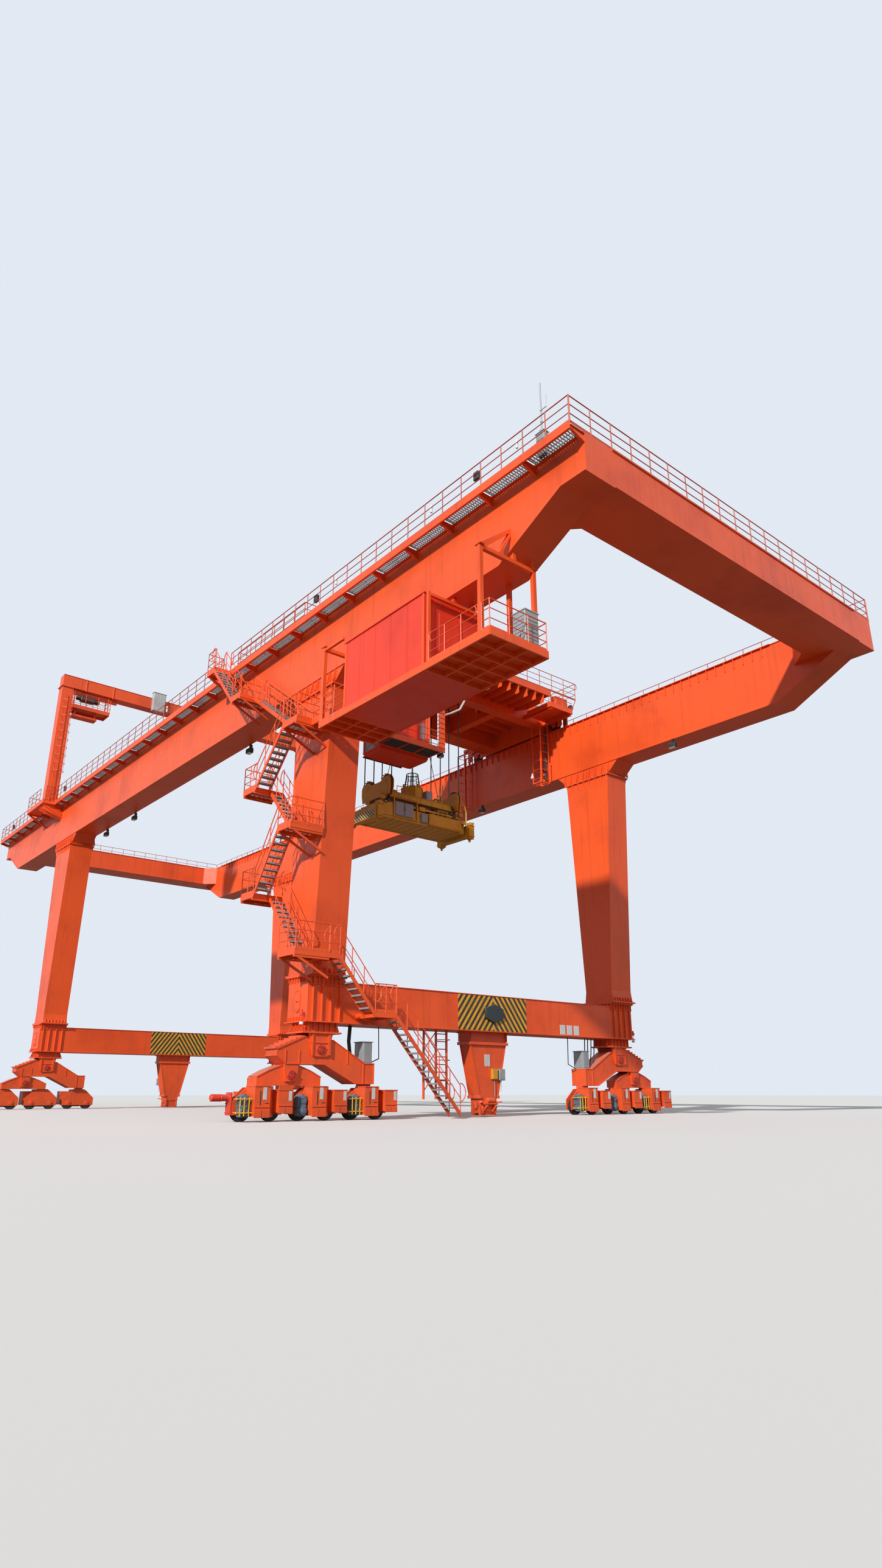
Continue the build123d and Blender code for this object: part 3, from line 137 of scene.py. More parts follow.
bpy.ops.object.select_all(action="DESELECT")
bpy.ops.mesh.primitive_plane_add(size=FLOOR_REACH)
floor = bpy.context.object
floor.name = "floor"
floor_finish, shader = plain("floor_finish", Base_Color=FLOOR_SEEN, Roughness=FLOOR_ROUGH)
tree = floor_finish.node_tree
seen = Wire(tree, shader.outputs[0])
direct = seen.node("ShaderNodeLightPath", out="Is Camera Ray")
bounce = seen.node("ShaderNodeBsdfPrincipled", Base_Color=FLOOR_BOUNCE, Roughness=FLOOR_ROUGH)
pick = seen.node("ShaderNodeMixShader", _0=direct, _1=bounce, _2=seen)
feed(tree.nodes["Material Output"], {"Surface": pick})
floor.data.materials.append(floor_finish)

scene = bpy.context.scene
scene.view_settings.view_transform = "Standard"
scene.world = bpy.data.worlds.new("studio")
scene.world.use_nodes = True
tree = scene.world.node_tree
feed(tree.nodes["Background"], {"Color": SKY_LIGHT, "Strength": SKY_POWER})
sky = Wire(tree, tree.nodes["Background"].outputs[0])
seen = sky.node("ShaderNodeBackground", Color=SKY_SEEN, Strength=SKY_GLOW)
direct, mirrored, through = (
    sky.node("ShaderNodeLightPath", out=ray) for ray in ("Is Camera Ray", "Is Glossy Ray", "Is Transmission Ray")
)
shown = sky.maths("MAXIMUM", sky.maths("MAXIMUM", direct, mirrored), through)
pick = sky.node("ShaderNodeMixShader", _0=shown, _1=sky, _2=seen)
feed(tree.nodes["World Output"], {"Surface": pick})

for name, turn, breadth, strength in LAMPS:
    bpy.ops.object.light_add(type="SUN", rotation=[radians(a) for a in turn])
    lamp = bpy.context.object
    lamp.name = name
    lamp.data.energy = strength
    lamp.data.angle = radians(breadth)

bpy.ops.object.camera_add(location=CAMERA_PLACE)
camera = bpy.context.object
look = Vector((-cos(CAMERA_YAW) * cos(CAMERA_PITCH), sin(CAMERA_YAW) * cos(CAMERA_PITCH), sin(CAMERA_PITCH)))
camera.rotation_euler = look.to_track_quat("-Z", "Y").to_euler()
camera.data.lens = LENS
camera.data.sensor_width = SENSOR
camera.data.clip_end = FAR_CLIP
scene.camera = camera

# Paint of the steelwork: gloss machine paint on welded plate, a little faded and dusted, with rain streaks
# down the sides, chips that show grey primer, and the slight waves of thin plate.
SOOT = (0.09, 0.07, 0.055, 1)
DUST = (0.36, 0.31, 0.26, 1)
PRIMER = (0.16, 0.13, 0.12, 1)
WAVE = 0.75


def painted(name, **inputs):
    """A plain material, with the place on the part as a wire to paint it by."""
    finish, shader = plain(name, **inputs)
    tree = finish.node_tree
    return finish, shader, Wire(tree, tree.nodes.new("ShaderNodeTexCoord").outputs["Object"])


def paint(name, colour, rough=0.42, dust=0.5, streak=0.35, chips=0.3, metal=0.0, scale=1.0):
    """Machine paint: its colour, and how dusty, streaked and chipped it is."""
    finish, shader, place = painted(name, Metallic=metal)

    def grain(size, detail=3.0, stretch=(1, 1, 1)):
        spread = place.node("ShaderNodeMapping", Vector=place, Scale=stretch)
        return place.node("ShaderNodeTexNoise", Vector=spread, Scale=size * scale, Detail=detail, Roughness=0.55)

    face = place.node("ShaderNodeNewGeometry", out="Normal")
    up, height = face.split(2), place.split(2)
    cloud, blot = grain(0.7, 4), grain(5.0, 5)
    drip, fine = grain(1.0, 4, (9, 9, 0.35)), grain(60.0)
    red, green, blue = colour
    dark = (red * 0.72, green * 0.62, blue * 0.6, 1)
    light = (red * 1.06 + 0.01, green * 1.16 + 0.01, blue * 1.2 + 0.01, 1)
    tone = cloud.between(0.3, 0.7).tint(dark, light)
    tone = (cloud.between(0.25, 0.6) * 0.6 + 0.3).tint(tone, (*colour, 1))
    side = 1 - up.maths("ABSOLUTE", up).between(0.3, 0.8)
    run = drip.between(0.52, 0.78) * side * streak
    tone = run.tint(tone, (red * 0.35, green * 0.3 + 0.01, blue * 0.3 + 0.012, 1))
    grime = (1 - height.between(0.1, 2.2)) * blot.between(0.3, 0.65) * 0.45 * dust
    powder = up.between(0.45, 0.95) * blot.between(0.25, 0.7) * dust
    chip = (blot * 0.6 + fine * 0.4).between(0.655, 0.675) * chips
    tone = chip.tint(powder.tint(grime.tint(tone, SOOT), DUST), PRIMER)
    gloss = blot * 0.22 + (rough - 0.11) + powder * 0.3 + chip * 0.25 + run * 0.15
    relief = cloud * WAVE + fine * 0.02 - chip * 0.05
    bump = relief.node("ShaderNodeBump", Strength=0.35, Distance=0.02, Height=relief)
    feed(shader, {"Base_Color": tone, "Roughness": gloss, "Normal": bump})
    return finish


SLOT_LOOKS = {
    "orange_paint": {"colour": (0.86, 0.095, 0.013)},
    "red_paint": {"colour": (0.84, 0.044, 0.012)},
    "grey_paint": {"colour": (0.36, 0.38, 0.39), "rough": 0.5, "metal": 0.3},
    "yellow_paint": {
        "colour": (0.62, 0.29, 0.014), "rough": 0.5, "dust": 0.45, "streak": 0.7, "chips": 1.0, "scale": 2.0,
    },
    "blue_grey_paint": {"colour": (0.1, 0.16, 0.22), "rough": 0.45},
    "rail_steel": {"colour": (0.28, 0.26, 0.24), "rough": 0.38, "metal": 0.85, "chips": 0.1},
    "dark_steel": {"colour": (0.06, 0.055, 0.05), "rough": 0.55, "metal": 0.6},
    "rope_steel": {"colour": (0.08, 0.08, 0.085), "rough": 0.5, "metal": 0.7},
}
SLOT_FINISH = {slot: paint(slot + "_finish", **look) for slot, look in SLOT_LOOKS.items()}
for part in frame["record"]["subparts"]:
    node = frame["nodes"][part["node"]]
    node.data.materials.clear()
    node.data.materials.append(SLOT_FINISH[part["material_slot"]])

# Box girders and the tie beams across their ends: welded plate boxes. The flange plates stand a little proud of
# the webs all round.
BOTH = (-1, 1)
GIRDER_Y = 4.22
INNER_Y, OUTER_Y = 3.8875, 4.5525
DECK, SOFFIT, END_SOFFIT = 10.07, 8.63, 9.35
HALF_LENGTH = 15.45
LENGTH = (-HALF_LENGTH, HALF_LENGTH)
HAUNCH_START, HAUNCH_END = 13.51, 14.935
TIE_INNER = 14.42
PLATE = 0.014
hairs = cycle(range(1, 8))


def ends(x, y, z):
    """Both ends of a run: on each axis a number where it stays, or a (start, end) pair."""
    return [Vector(end) for end in zip(*(a if isinstance(a, tuple) else (a, a) for a in (x, y, z)))]


def hair():
    """What a plate, bar or disc is drawn larger by: less than 1 mm, and never the same twice running, so that no
    two that lap share a face."""
    return 0.00014 * next(hairs)


def slab(x, y, z, soft=0.0):
    """A plate or box from its (low, high) on each axis, its edges broken by a bevel."""
    grow = hair()
    middle = [(low + high) / 2 for low, high in (x, y, z)]
    size = [abs(high - low) + grow for low, high in (x, y, z)]
    bpy.ops.mesh.primitive_cube_add(size=1, location=middle, scale=size, calc_uvs=False)
    if soft:
        bpy.ops.mesh.bevel(offset=soft, segments=1)


def strut(start, end, width, depth=None, sides=6):
    """A tube between two points, or a flat bar where a depth is given."""
    run = end - start
    grow = hair()
    place = {"location": (start + end) / 2, "rotation": run.to_track_quat("Z", "Y").to_euler(), "calc_uvs": False}
    length = run.length + grow
    width += grow
    if depth:
        bpy.ops.mesh.primitive_cube_add(size=1, scale=(width, depth + grow, length), **place)
    else:
        bpy.ops.mesh.primitive_cylinder_add(vertices=sides, radius=width / 2, depth=length, **place)


def bar(x, y, z, width, depth=None, sides=6):
    """A strut from its run on each axis."""
    strut(*ends(x, y, z), width, depth, sides)


def open_piece(name):
    """A new piece with an empty mesh, open in edit mode."""
    bpy.ops.object.select_all(action="DESELECT")
    piece = bpy.data.objects.new(name, bpy.data.meshes.new(name))
    scene.collection.objects.link(piece)
    bpy.context.view_layer.objects.active = piece
    piece.select_set(True)
    bpy.ops.object.mode_set(mode="EDIT")
    return piece


def repeat(piece, places):
    """Copies a closed shape to each (x, y, z, turn about Z) and joins the copies into one piece."""
    name = piece.name
    copies = []
    for x, y, z, turn in places:
        copy = piece.copy()
        copy.data = piece.data.copy()
        copy.data.transform(Matrix.Translation((x, y, z)) @ Matrix.Rotation(radians(turn), 4, "Z"))
        scene.collection.objects.link(copy)
        copies.append(copy)
    bpy.data.objects.remove(piece)
    bpy.ops.object.select_all(action="DESELECT")
    for copy in copies:
        copy.select_set(True)
    bpy.context.view_layer.objects.active = copies[0]
    bpy.ops.object.join()
    copies[0].name = name
    return copies[0]


def close_piece(body="crane", slot="orange_paint", finish=None, places=None):
    """Leave edit mode, and give the open piece its finish (the slot's paint where no finish is given), its body and,
    where it is repeated, its places."""
    piece = bpy.context.object
    bpy.ops.object.mode_set(mode="OBJECT")
    piece.data.materials.append(finish or SLOT_FINISH[slot])
    bpy.ops.object.shade_smooth_by_angle(angle=radians(35))
    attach(piece, body)
    return repeat(piece, places) if places else piece


open_piece("girder_flanges")
for side in BOTH:
    for y in (side * INNER_Y, side * OUTER_Y):
        edge = (y, y + (side if abs(y) > GIRDER_Y else -side) * 0.02)
        slab(LENGTH, edge, (DECK - PLATE, DECK))
        slab((-HAUNCH_START, HAUNCH_START), edge, (SOFFIT, SOFFIT + PLATE))
        for end in BOTH:
            haunch_x = (end * HAUNCH_START, end * HAUNCH_END)
            bar(haunch_x, sum(edge) / 2, (SOFFIT + PLATE / 2, END_SOFFIT + PLATE / 2), 0.02, PLATE)
            slab((end * HAUNCH_END, end * HALF_LENGTH), edge, (END_SOFFIT, END_SOFFIT + PLATE))
for end, x, z in product(BOTH, (TIE_INNER - 0.02, HALF_LENGTH), (END_SOFFIT, DECK - PLATE)):
    slab((end * x, end * (x + 0.02)), (-INNER_Y, INNER_Y), (z, z + PLATE))
close_piece()

# Small tapered gussets under the overhang of each girder's inner top flange, and the clips that hold the
# runway rails down on it, both at an even pitch.
RUNWAY_Y = 4.0


def row(count, start, pitch):
    """A row of places along an axis."""
    return [start + i * pitch for i in range(count)]


def disc(x, y, z, radius, depth, axis, sides=16, soft=0.0):
    """A round boss, cap or lens about an axis, with a broken rim."""
    turn = {"X": (0, pi / 2, 0), "Y": (pi / 2, 0, 0), "Z": (0, 0, 0)}[axis]
    grow = hair()
    bpy.ops.mesh.primitive_cylinder_add(
        vertices=sides, radius=radius + grow / 2, depth=depth + grow, location=(x, y, z), rotation=turn, calc_uvs=False
    )
    if soft:
        bpy.ops.mesh.bevel(offset=soft, segments=1)


def bolt(x, y, z, axis="Z", radius=0.011, depth=0.012):
    """The six-sided head of a bolt."""
    disc(x, y, z, radius, depth, axis, 6)


open_piece("flange_gussets")
for side in BOTH:
    y = side * INNER_Y
    slab((-HAUNCH_START, HAUNCH_START), (y, y - side * 0.055), (DECK - PLATE, DECK - 0.001))
    for x in row(110, -13.3, 0.244):
        bar(x, (y - side * 0.026, y - side * 0.004), (DECK - PLATE, DECK - 0.24), 0.014, 0.045)
close_piece()

open_piece("rail_clips")
for face in BOTH:
    slab((-0.03, 0.03), (face * 0.03 - 0.012, face * 0.06 + 0.012), (0, 0.016), 0.003)
    bolt(0, face * 0.055, 0.022, depth=0.014)
close_piece(slot="rail_steel", places=[(x, side * RUNWAY_Y, DECK, 0) for side in BOTH for x in row(60, -14.75, 0.5)])

# Walkway along the left girder: galvanised grating in an angle frame, on tapered brackets that are welded to
# the web, with a toe channel along its outer edge.
WEB = -OUTER_Y
WALK_EDGE = -4.8775
WIDE_EDGE = -5.2675
KERB = (DECK - 0.11, DECK + 0.04)
STAIR_HEAD = (4.0, 4.4)
PORTAL_BAY = (-10.54, -8.7)


def about(middle, half):
    """From half before a middle to half after it."""
    return middle - half, middle + half


open_piece("walkway_frame")
slab(LENGTH, (WALK_EDGE, WALK_EDGE + 0.012), KERB)
slab(LENGTH, (WALK_EDGE, WALK_EDGE + 0.035), (KERB[0], KERB[0] + 0.01))
slab(LENGTH, (WEB - 0.035, WEB), (DECK - 0.05, DECK - 0.04))
for x in row(31, 0.015 - HALF_LENGTH, (2 * HALF_LENGTH - 0.03) / 30):
    slab(about(x, 0.03), (WALK_EDGE + 0.012, WEB), (DECK - 0.05, DECK - 0.042))
    bar(x, (WALK_EDGE + 0.02, WEB), (DECK - 0.085, DECK - 0.13), 0.012, 0.09)
    bar(x, (WALK_EDGE + 0.02, WEB), (DECK - 0.105, DECK - 0.205), 0.045, 0.01)
for low, high in (STAIR_HEAD, PORTAL_BAY):
    slab((low, high), (WIDE_EDGE, WIDE_EDGE + 0.012), KERB)
    for x in (low, high - 0.012):
        slab((x, x + 0.012), (WIDE_EDGE, WALK_EDGE), KERB)
    for x in (low + 0.08, high - 0.08):
        bar(x, (WIDE_EDGE + 0.02, WEB), DECK - 0.1, 0.012, 0.1)
        bar(x, (WIDE_EDGE + 0.05, WEB), (DECK - 0.12, DECK - 0.5), 0.05, 0.05)
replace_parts(close_piece(), "girder_walkway")

open_piece("walkway_grating")
slab((0.05, 0.062), (WALK_EDGE + 0.03, WEB - 0.02), (DECK - 0.036, DECK - 0.006))
for x in row(17, 0.085, 0.0538):
    slab((x, x + 0.012), (WALK_EDGE + 0.03, WEB - 0.02), (DECK - 0.034, DECK - 0.008))
for y in (*row(4, WALK_EDGE + 0.03, 0.075), WEB - 0.03):
    slab((0.04, 0.99), (y, y + 0.01), (DECK - 0.03, DECK - 0.012))
close_piece(slot="grey_paint", places=[(x, 0, 0, 0) for x in row(30, 0.015 - HALF_LENGTH, 1.029)])

# Railings of round tube: upright posts, three rails and a flat toe strip, welded to the kerb. Along the walkway
# and its platforms, along the right girder and across both ends.
UP = Vector((0, 0, 1))
RAIL_LEVELS = (0.18, 0.35, 0.515)
PORTAL_X = -8.96


def railing(x, y, z, pitch=0.5, levels=RAIL_LEVELS, toe=True):
    """A railing along a run on a floor or a flight, its posts upright."""
    start, end = ends(x, y, z)
    run = end - start
    for level in levels:
        strut(start + UP * level, end + UP * level, 0.02 if level == levels[-1] else 0.016)
    if toe:
        strut(start + UP * 0.03, end + UP * 0.03, 0.006, 0.05)
    count = max(1, round(run.length / pitch))
    for i in range(count + 1):
        foot = start + run * i / count
        strut(foot, foot + UP * levels[-1], 0.02)


open_piece("girder_railings")
left, wide, right = WALK_EDGE + 0.012, WIDE_EDGE + 0.012, OUTER_Y - 0.012
for x, y in (
    ((-HALF_LENGTH, PORTAL_BAY[0]), left),
    ((PORTAL_BAY[1], STAIR_HEAD[0]), left),
    ((STAIR_HEAD[1], HALF_LENGTH), left),
    ((PORTAL_BAY[0], PORTAL_X - 0.22), wide),
    (PORTAL_BAY[0], (wide, left)),
    (PORTAL_BAY[1], (wide + 0.05, left)),
    (STAIR_HEAD[0], (wide, left)),
    (STAIR_HEAD, wide),
    (LENGTH, right),
    (0.012 - HALF_LENGTH, (left, right)),
    (HALF_LENGTH - 0.012, (left, right)),
):
    railing(x, y, DECK)
rail_finish = paint("rail_finish", (0.5, 0.07, 0.022), rough=0.5)
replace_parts(close_piece(finish=rail_finish), "girder_handrails")

# Stair beside the near left leg: channel stringers, galvanised treads with a nosing, framed landings on
# brackets, and tube railings on both sides of each flight.
OUTER_LANE = (-5.3025, -4.9725)
INNER_LANE = (-4.9525, -4.6425)
FRONT_LANE = (8.55, 8.9)
STAIR_OUTER = OUTER_LANE[0]
RISE = 0.11
# Low x, high x, level and inner y of each landing.
LANDINGS = (
    (5.52, 5.95, 8.85, WEB),
    (7.95, 8.5, 7.425, -4.58),
    (6.475, 6.975, 6.375, INNER_LANE[1]),
    (8.0, 8.5, 5.275, -4.58),
    (6.7, 7.2, 4.138, INNER_LANE[1]),
    (8.3, 8.9, 2.86, -4.58),
)
# The run of each flight along x and z, and its lane; of the front ones along y and z.
FLIGHTS = (
    ((4.4, 5.52), (10.07, 8.85), OUTER_LANE),
    ((5.95, 7.95), (8.85, 7.425), INNER_LANE),
    ((7.95, 6.975), (7.425, 6.375), OUTER_LANE),
    ((6.975, 8.0), (6.375, 5.275), INNER_LANE),
    ((8.0, 7.2), (5.275, 4.138), OUTER_LANE),
    ((7.2, 8.3), (4.138, 2.86), INNER_LANE),
)
FRONT_FLIGHTS = (((-4.35, -3.53), (2.86, 1.875)), ((-3.05, -1.48), (1.875, 0.13)))
# The pan's flanges, its bars and its nosing: back and front edge, low and high face below the tread.
TREAD = (
    (-0.052, -0.044, 0.03, 0),
    (0.044, 0.052, 0.03, 0),
    (-0.03, -0.018, 0.015, 0),
    (0, 0.012, 0.015, 0),
    (0.025, 0.037, 0.015, 0),
    (-0.05, 0.05, 0.014, 0.008),
)


def inside(lane, gap):
    """A lane made narrower by a gap on both sides."""
    return lane[0] + gap, lane[1] - gap


open_piece("stair_railings")
for x, z, lane in FLIGHTS:
    for y in inside(lane, 0.01):
        railing(x, y, z, 0.42, (0.25, 0.48), False)
for y, z in FRONT_FLIGHTS:
    for x in inside(FRONT_LANE, 0.01):
        railing(x, y, z, 0.42, (0.25, 0.48), False)
for i, (low, high, z, inner) in enumerate(LANDINGS):
    railing((low, high), STAIR_OUTER + 0.012, z, 0.3)
    railing(high if i % 2 else low, (STAIR_OUTER + 0.012, inner), z, 0.3)
railing(8.888, (-4.58, -4.35), 2.86, 0.3)
railing(8.888, (-3.53, -3.05), 1.875, 0.3)
railing((8.5, 9.26), -4.94, 7.425, 0.4)
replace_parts(close_piece(), "stair_handrails")


def steps(way, z, lane, along_x):
    """Treads of one flight: a folded pan with a nosing and three bars."""
    count = round((z[0] - z[1]) / RISE)
    across = inside(lane, 0.02)
    for i in range(1, count):
        run = way[0] + (way[1] - way[0]) * i / count
        level = z[0] + (z[1] - z[0]) * i / count - 0.025
        for back, front, low, high in TREAD:
            along = (run + back, run + front)
            x, y = (along, across) if along_x else (across, along)
            slab(x, y, (level - low, level - high))


open_piece("stair_steps")
for x, z, lane in FLIGHTS:
    steps(x, z, lane, True)
for y, z in FRONT_FLIGHTS:
    steps(y, z, FRONT_LANE, False)
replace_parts(close_piece(slot="grey_paint"), "stair_treads")

open_piece("stair_brackets")
for low, high, z, inner in LANDINGS:
    for x in (low + 0.03, high - 0.03):
        slab(about(x, 0.02), (STAIR_OUTER, inner), (z - 0.13, z - 0.09))
        if inner > INNER_LANE[1]:
            bar(x, (STAIR_OUTER + 0.08, inner), (z - 0.12, z - 0.45), 0.03, 0.04)
close_piece()

# Legs and their bases: tapered plate boxes between bolted flanges. A row of ribs stiffens each head under
# the girder, and a bolted manhole cover closes each base.
RAIL_X = 7.925
CORNERS = [(end * RAIL_X, side * GIRDER_Y, 0, 0 if side > 0 else 180) for end in (1, -1) for side in BOTH]
HEAD_Z = 8.33
BASE_TOP = 2.535
SILL_LOW = 1.69
FLANGE = 0.03
UNDER = FLANGE + 0.006


def ring(count, radius, first=0.0):
    """A ring of places about a middle."""
    return [(radius * cos(a), radius * sin(a)) for a in ((i + first) * 2 * pi / count for i in range(count))]


open_piece("leg_trim")
for face in BOTH:
    for x in row(8, -0.75, 0.215):
        bar(x, (face * 0.335, face * 0.385), (SOFFIT - 0.03, HEAD_Z + 0.015), 0.018, 0.07)
        bar((x * 0.9, x * 0.88), (face * 0.375, face * 0.345), (HEAD_Z - 0.02, HEAD_Z - 0.2), 0.018, 0.06)
    for x, z in product(row(16, -0.7125, 0.095), (HEAD_Z + 0.006, HEAD_Z - UNDER)):
        bolt(x, face * 0.39, z)
    for x, z in product(row(9, -0.36, 0.09), (BASE_TOP + UNDER, BASE_TOP - UNDER)):
        bolt(x, face * 0.383, z)
    for y in row(7, -0.3, 0.1):
        bar((face * 0.438, face * 0.475), y, (BASE_TOP + FLANGE + 0.1, BASE_TOP + FLANGE), 0.012, 0.04)
        bolt(face * 0.482, y + 0.05, BASE_TOP + UNDER)
    for y in row(6, -0.275, 0.11):
        bar((face * 0.9, face * 0.985), y, (SOFFIT - 0.13, SOFFIT - 0.03), 0.03, 0.012)
    slab((-0.39, 0.39), (face * 0.388, face * 0.433), (SILL_LOW, SILL_LOW + 0.02))
    slab((face * 0.345, face * 0.39), (-0.433, 0.433), (SILL_LOW, SILL_LOW + 0.02))
    slab((face * 0.345, face * 0.372), (-0.39, 0.39), (BASE_TOP - 0.17, BASE_TOP - 0.158))
    for x in row(7, -0.3, 0.1):
        slab(about(x, 0.006), (face * 0.388, face * 0.425), (BASE_TOP - 0.12, BASE_TOP - FLANGE))
        slab(about(x, 0.006), (face * 0.388, face * 0.42), (SILL_LOW + 0.02, SILL_LOW + 0.1))
    for y in row(9, -0.36, 0.09):
        slab((face * 0.345, face * 0.38), about(y, 0.006), (BASE_TOP - 0.158, BASE_TOP - FLANGE))
        bolt(face * 0.372, y + 0.045, BASE_TOP - UNDER, radius=0.01)
close_piece(places=CORNERS)

open_piece("manhole_covers")
slab((-0.085, 0.085), (0.388, 0.404), (1.95, 2.2), 0.003)
for z in (1.95, 2.2):
    disc(0, 0.396, z, 0.085, 0.016, "Y", 24, 0.003)
for x, z in ring(16, 0.066):
    bolt(x, 0.408, 2.075 + z + (0.125 if z > 0.001 else -0.125 if z < -0.001 else 0), "Y", 0.008, 0.01)
slab((-0.03, 0.03), (0.404, 0.43), (2.06, 2.072), 0.002)
close_piece(places=CORNERS)

# Travel gear: at each corner a ribbed neck, a main equalizer on its pin, a sub-equalizer and three bogies,
# all welded boxes with flange plates that stand proud, and round pins behind bolted keeper plates.
MAIN_PIN_Z = 1.22
SUB_PIN = (0.567, 0.77)
AXLE_Z = 0.179
BOGIES = [side * GIRDER_Y + k * 1.134 for side in BOTH for k in (-1, 0, 1)]
WHEELS = [(end * RAIL_X, y + step, 0, 0) for end in (1, -1) for y in BOGIES for step in (-0.2835, 0.2835)]

open_piece("travel_trim")
for face in BOTH:
    for y in row(6, -0.3, 0.12):
        slab((face * 0.236, face * 0.275), about(y, 0.006), (1.53, SILL_LOW))
    for x in row(4, -0.18, 0.12):
        bar(x, (face * 0.345, face * 0.4), (SILL_LOW - 0.02, 1.535), 0.012, 0.05)
    for y in row(8, -0.37, 0.105):
        bolt(face * 0.262, y, 1.494)
    for y in (-0.2, 0.2):
        slab((face * 0.237, face * 0.262), (y - 0.006, y * 0.8 + 0.006), (MAIN_PIN_Z - 0.1, 1.5))
    slab((face * 0.237, face * 0.255), (-0.215, 0.215), (1.33, 1.342))
for y, z in (
    ((-1.01, -0.29), (0.99, 1.39)),
    ((-0.29, 0.26), (1.39, 1.44)),
    ((0.33, 0.88), (1.44, 1.21)),
    ((-0.8, -0.12), (0.63, 0.96)),
    ((-0.12, 0.7), (0.963, 0.963)),
    ((0.7, 0.88), (0.963, 1.1)),
):
    bar(0, y, z, 0.44, 0.014)
for y, z in (((0.65, 0.42), (0.74, 0.85)), ((0.42, 0.16), (0.85, 0.94)), ((0.16, -0.16), (0.94, 0.94))):
    for side in BOTH:
        bar(0, (SUB_PIN[0] + side * y[0], SUB_PIN[0] + side * y[1]), z, 0.33, 0.014)
for y in (-1.22, -0.98):
    slab((-0.215, 0.215), about(y, 0.01), (0.625, 0.99))
slab((-0.215, 0.215), (-1.235, -0.995), (0.985, 1.0))
for y, z in zip(row(6, 0.3, 0.1), row(6, 1.44, -0.042)):
    slab((-0.21, 0.21), (y, y + 0.12), (z - 0.02, z + 0.018), 0.003)
for face, y in product(BOTH, (-0.62, 0.42, 0.7)):
    slab((face * 0.2, face * 0.215), about(y, 0.006), (0.98, 1.2))
close_piece(places=CORNERS)

open_piece("pin_bosses")
for face, (y, z, out) in product(BOTH, ((0, MAIN_PIN_Z, 0.237), (*SUB_PIN, 0.2))):
    disc(face * (out + 0.014), y, z, 0.084, 0.028, "X", 24, 0.005)
    disc(face * (out + 0.034), y, z, 0.05, 0.014, "X", 24, 0.003)
    slab((face * (out + 0.026), face * (out + 0.046)), about(y, 0.075), (z + 0.03, z + 0.052), 0.003)
    for dy, dz in ring(8, 0.068, 0.5):
        bolt(face * (out + 0.032), y + dy, z + dz, "X", 0.009)
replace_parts(close_piece("crane", "dark_steel", paint("pin_red_finish", (0.55, 0.03, 0.012)), CORNERS), "pivot_pins")

open_piece("travel_wheels")
disc(0, 0, AXLE_Z, 0.166, 0.084, "X", 32)
for face in BOTH:
    disc(face * 0.034, 0, AXLE_Z, 0.179, 0.014, "X", 32, 0.003)
    disc(face * 0.052, 0, AXLE_Z, 0.062, 0.022, "X", 20, 0.004)
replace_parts(close_piece(slot="dark_steel", places=WHEELS), "wheels")

open_piece("axle_caps")
for face in BOTH:
    disc(face * 0.092, 0, AXLE_Z, 0.075, 0.016, "X", 20, 0.004)
    disc(face * 0.104, 0, AXLE_Z, 0.04, 0.014, "X", 16, 0.003)
    for y, z in ring(6, 0.06):
        bolt(face * 0.103, y, AXLE_Z + z, "X", 0.008, 0.01)
close_piece(places=WHEELS)

# Drives: blue-grey gear units on every bogie, each a cast housing with a round cover, a motor stub and bolts.
# The first and third of a corner stand behind yellow tube guards.
OUTER_FACE = RAIL_X + 0.084
GUARD_X = 0.262


def outside(offset):
    """Places on the outer faces of all bogies."""
    return [(end * OUTER_FACE, end * (y + offset), 0, 0 if end > 0 else 180) for end in (1, -1) for y in BOGIES]


GEAR_PLACES = outside(-0.3435)
GUARD_PLACES = outside(-0.2365)

open_piece("gear_units")
slab((0, 0.06), (-0.055, 0.055), (0.11, 0.42), 0.006)
slab((0.05, 0.19), (-0.08, 0.08), (0.075, 0.43), 0.014)
slab((0.03, 0.2), (-0.095, 0.095), (0.235, 0.25), 0.003)
disc(0.205, 0, 0.17, 0.078, 0.05, "X", 28, 0.01)
disc(0.235, 0, 0.17, 0.045, 0.03, "X", 24, 0.006)
disc(0.203, 0, 0.345, 0.062, 0.04, "X", 28, 0.008)
slab((0.185, 0.215), (-0.055, 0.055), (0.18, 0.34), 0.008)
disc(0.12, 0, 0.437, 0.06, 0.024, "Z", 24, 0.004)
for low, high in zip(ring(8, 0.064, 0.5), ring(8, 0.05, 0.5)):
    bolt(0.232, low[0], 0.17 + low[1], "X", 0.007, 0.01)
    bolt(0.225, high[0], 0.345 + high[1], "X", 0.006, 0.01)
for side, i in product(BOTH, range(5)):
    bolt(0.06 + i * 0.03, side * 0.088, 0.257, "Z", 0.006, 0.014)
    slab((0.07 + i * 0.026, 0.076 + i * 0.026), (side * 0.078, side * 0.09), (0.29, 0.41))
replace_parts(close_piece(slot="blue_grey_paint", places=GEAR_PLACES), "drive_units")

open_piece("gear_guards")
for side in BOTH:
    for y in (0.045, 0.125):
        bar(GUARD_X, side * y, (0.1, 0.4), 0.02, sides=10)
    for z in (0.15, 0.37):
        bar(GUARD_X, (side * 0.03, side * 0.19), z, 0.022, sides=10)
        disc(GUARD_X, side * 0.19, z, 0.02, 0.014, "Y", 12, 0.003)
        bar((GUARD_X, 0.03), side * 0.125, z, 0.018, sides=8)
for z in (0.15, 0.37):
    bar(GUARD_X, (-0.05, 0.05), z, 0.018, sides=8)
guard_yellow = paint("guard_yellow_finish", (0.85, 0.48, 0.02), rough=0.38)
close_piece("crane", "yellow_paint", guard_yellow, [place for i, place in enumerate(GEAR_PLACES) if i % 3 != 1])

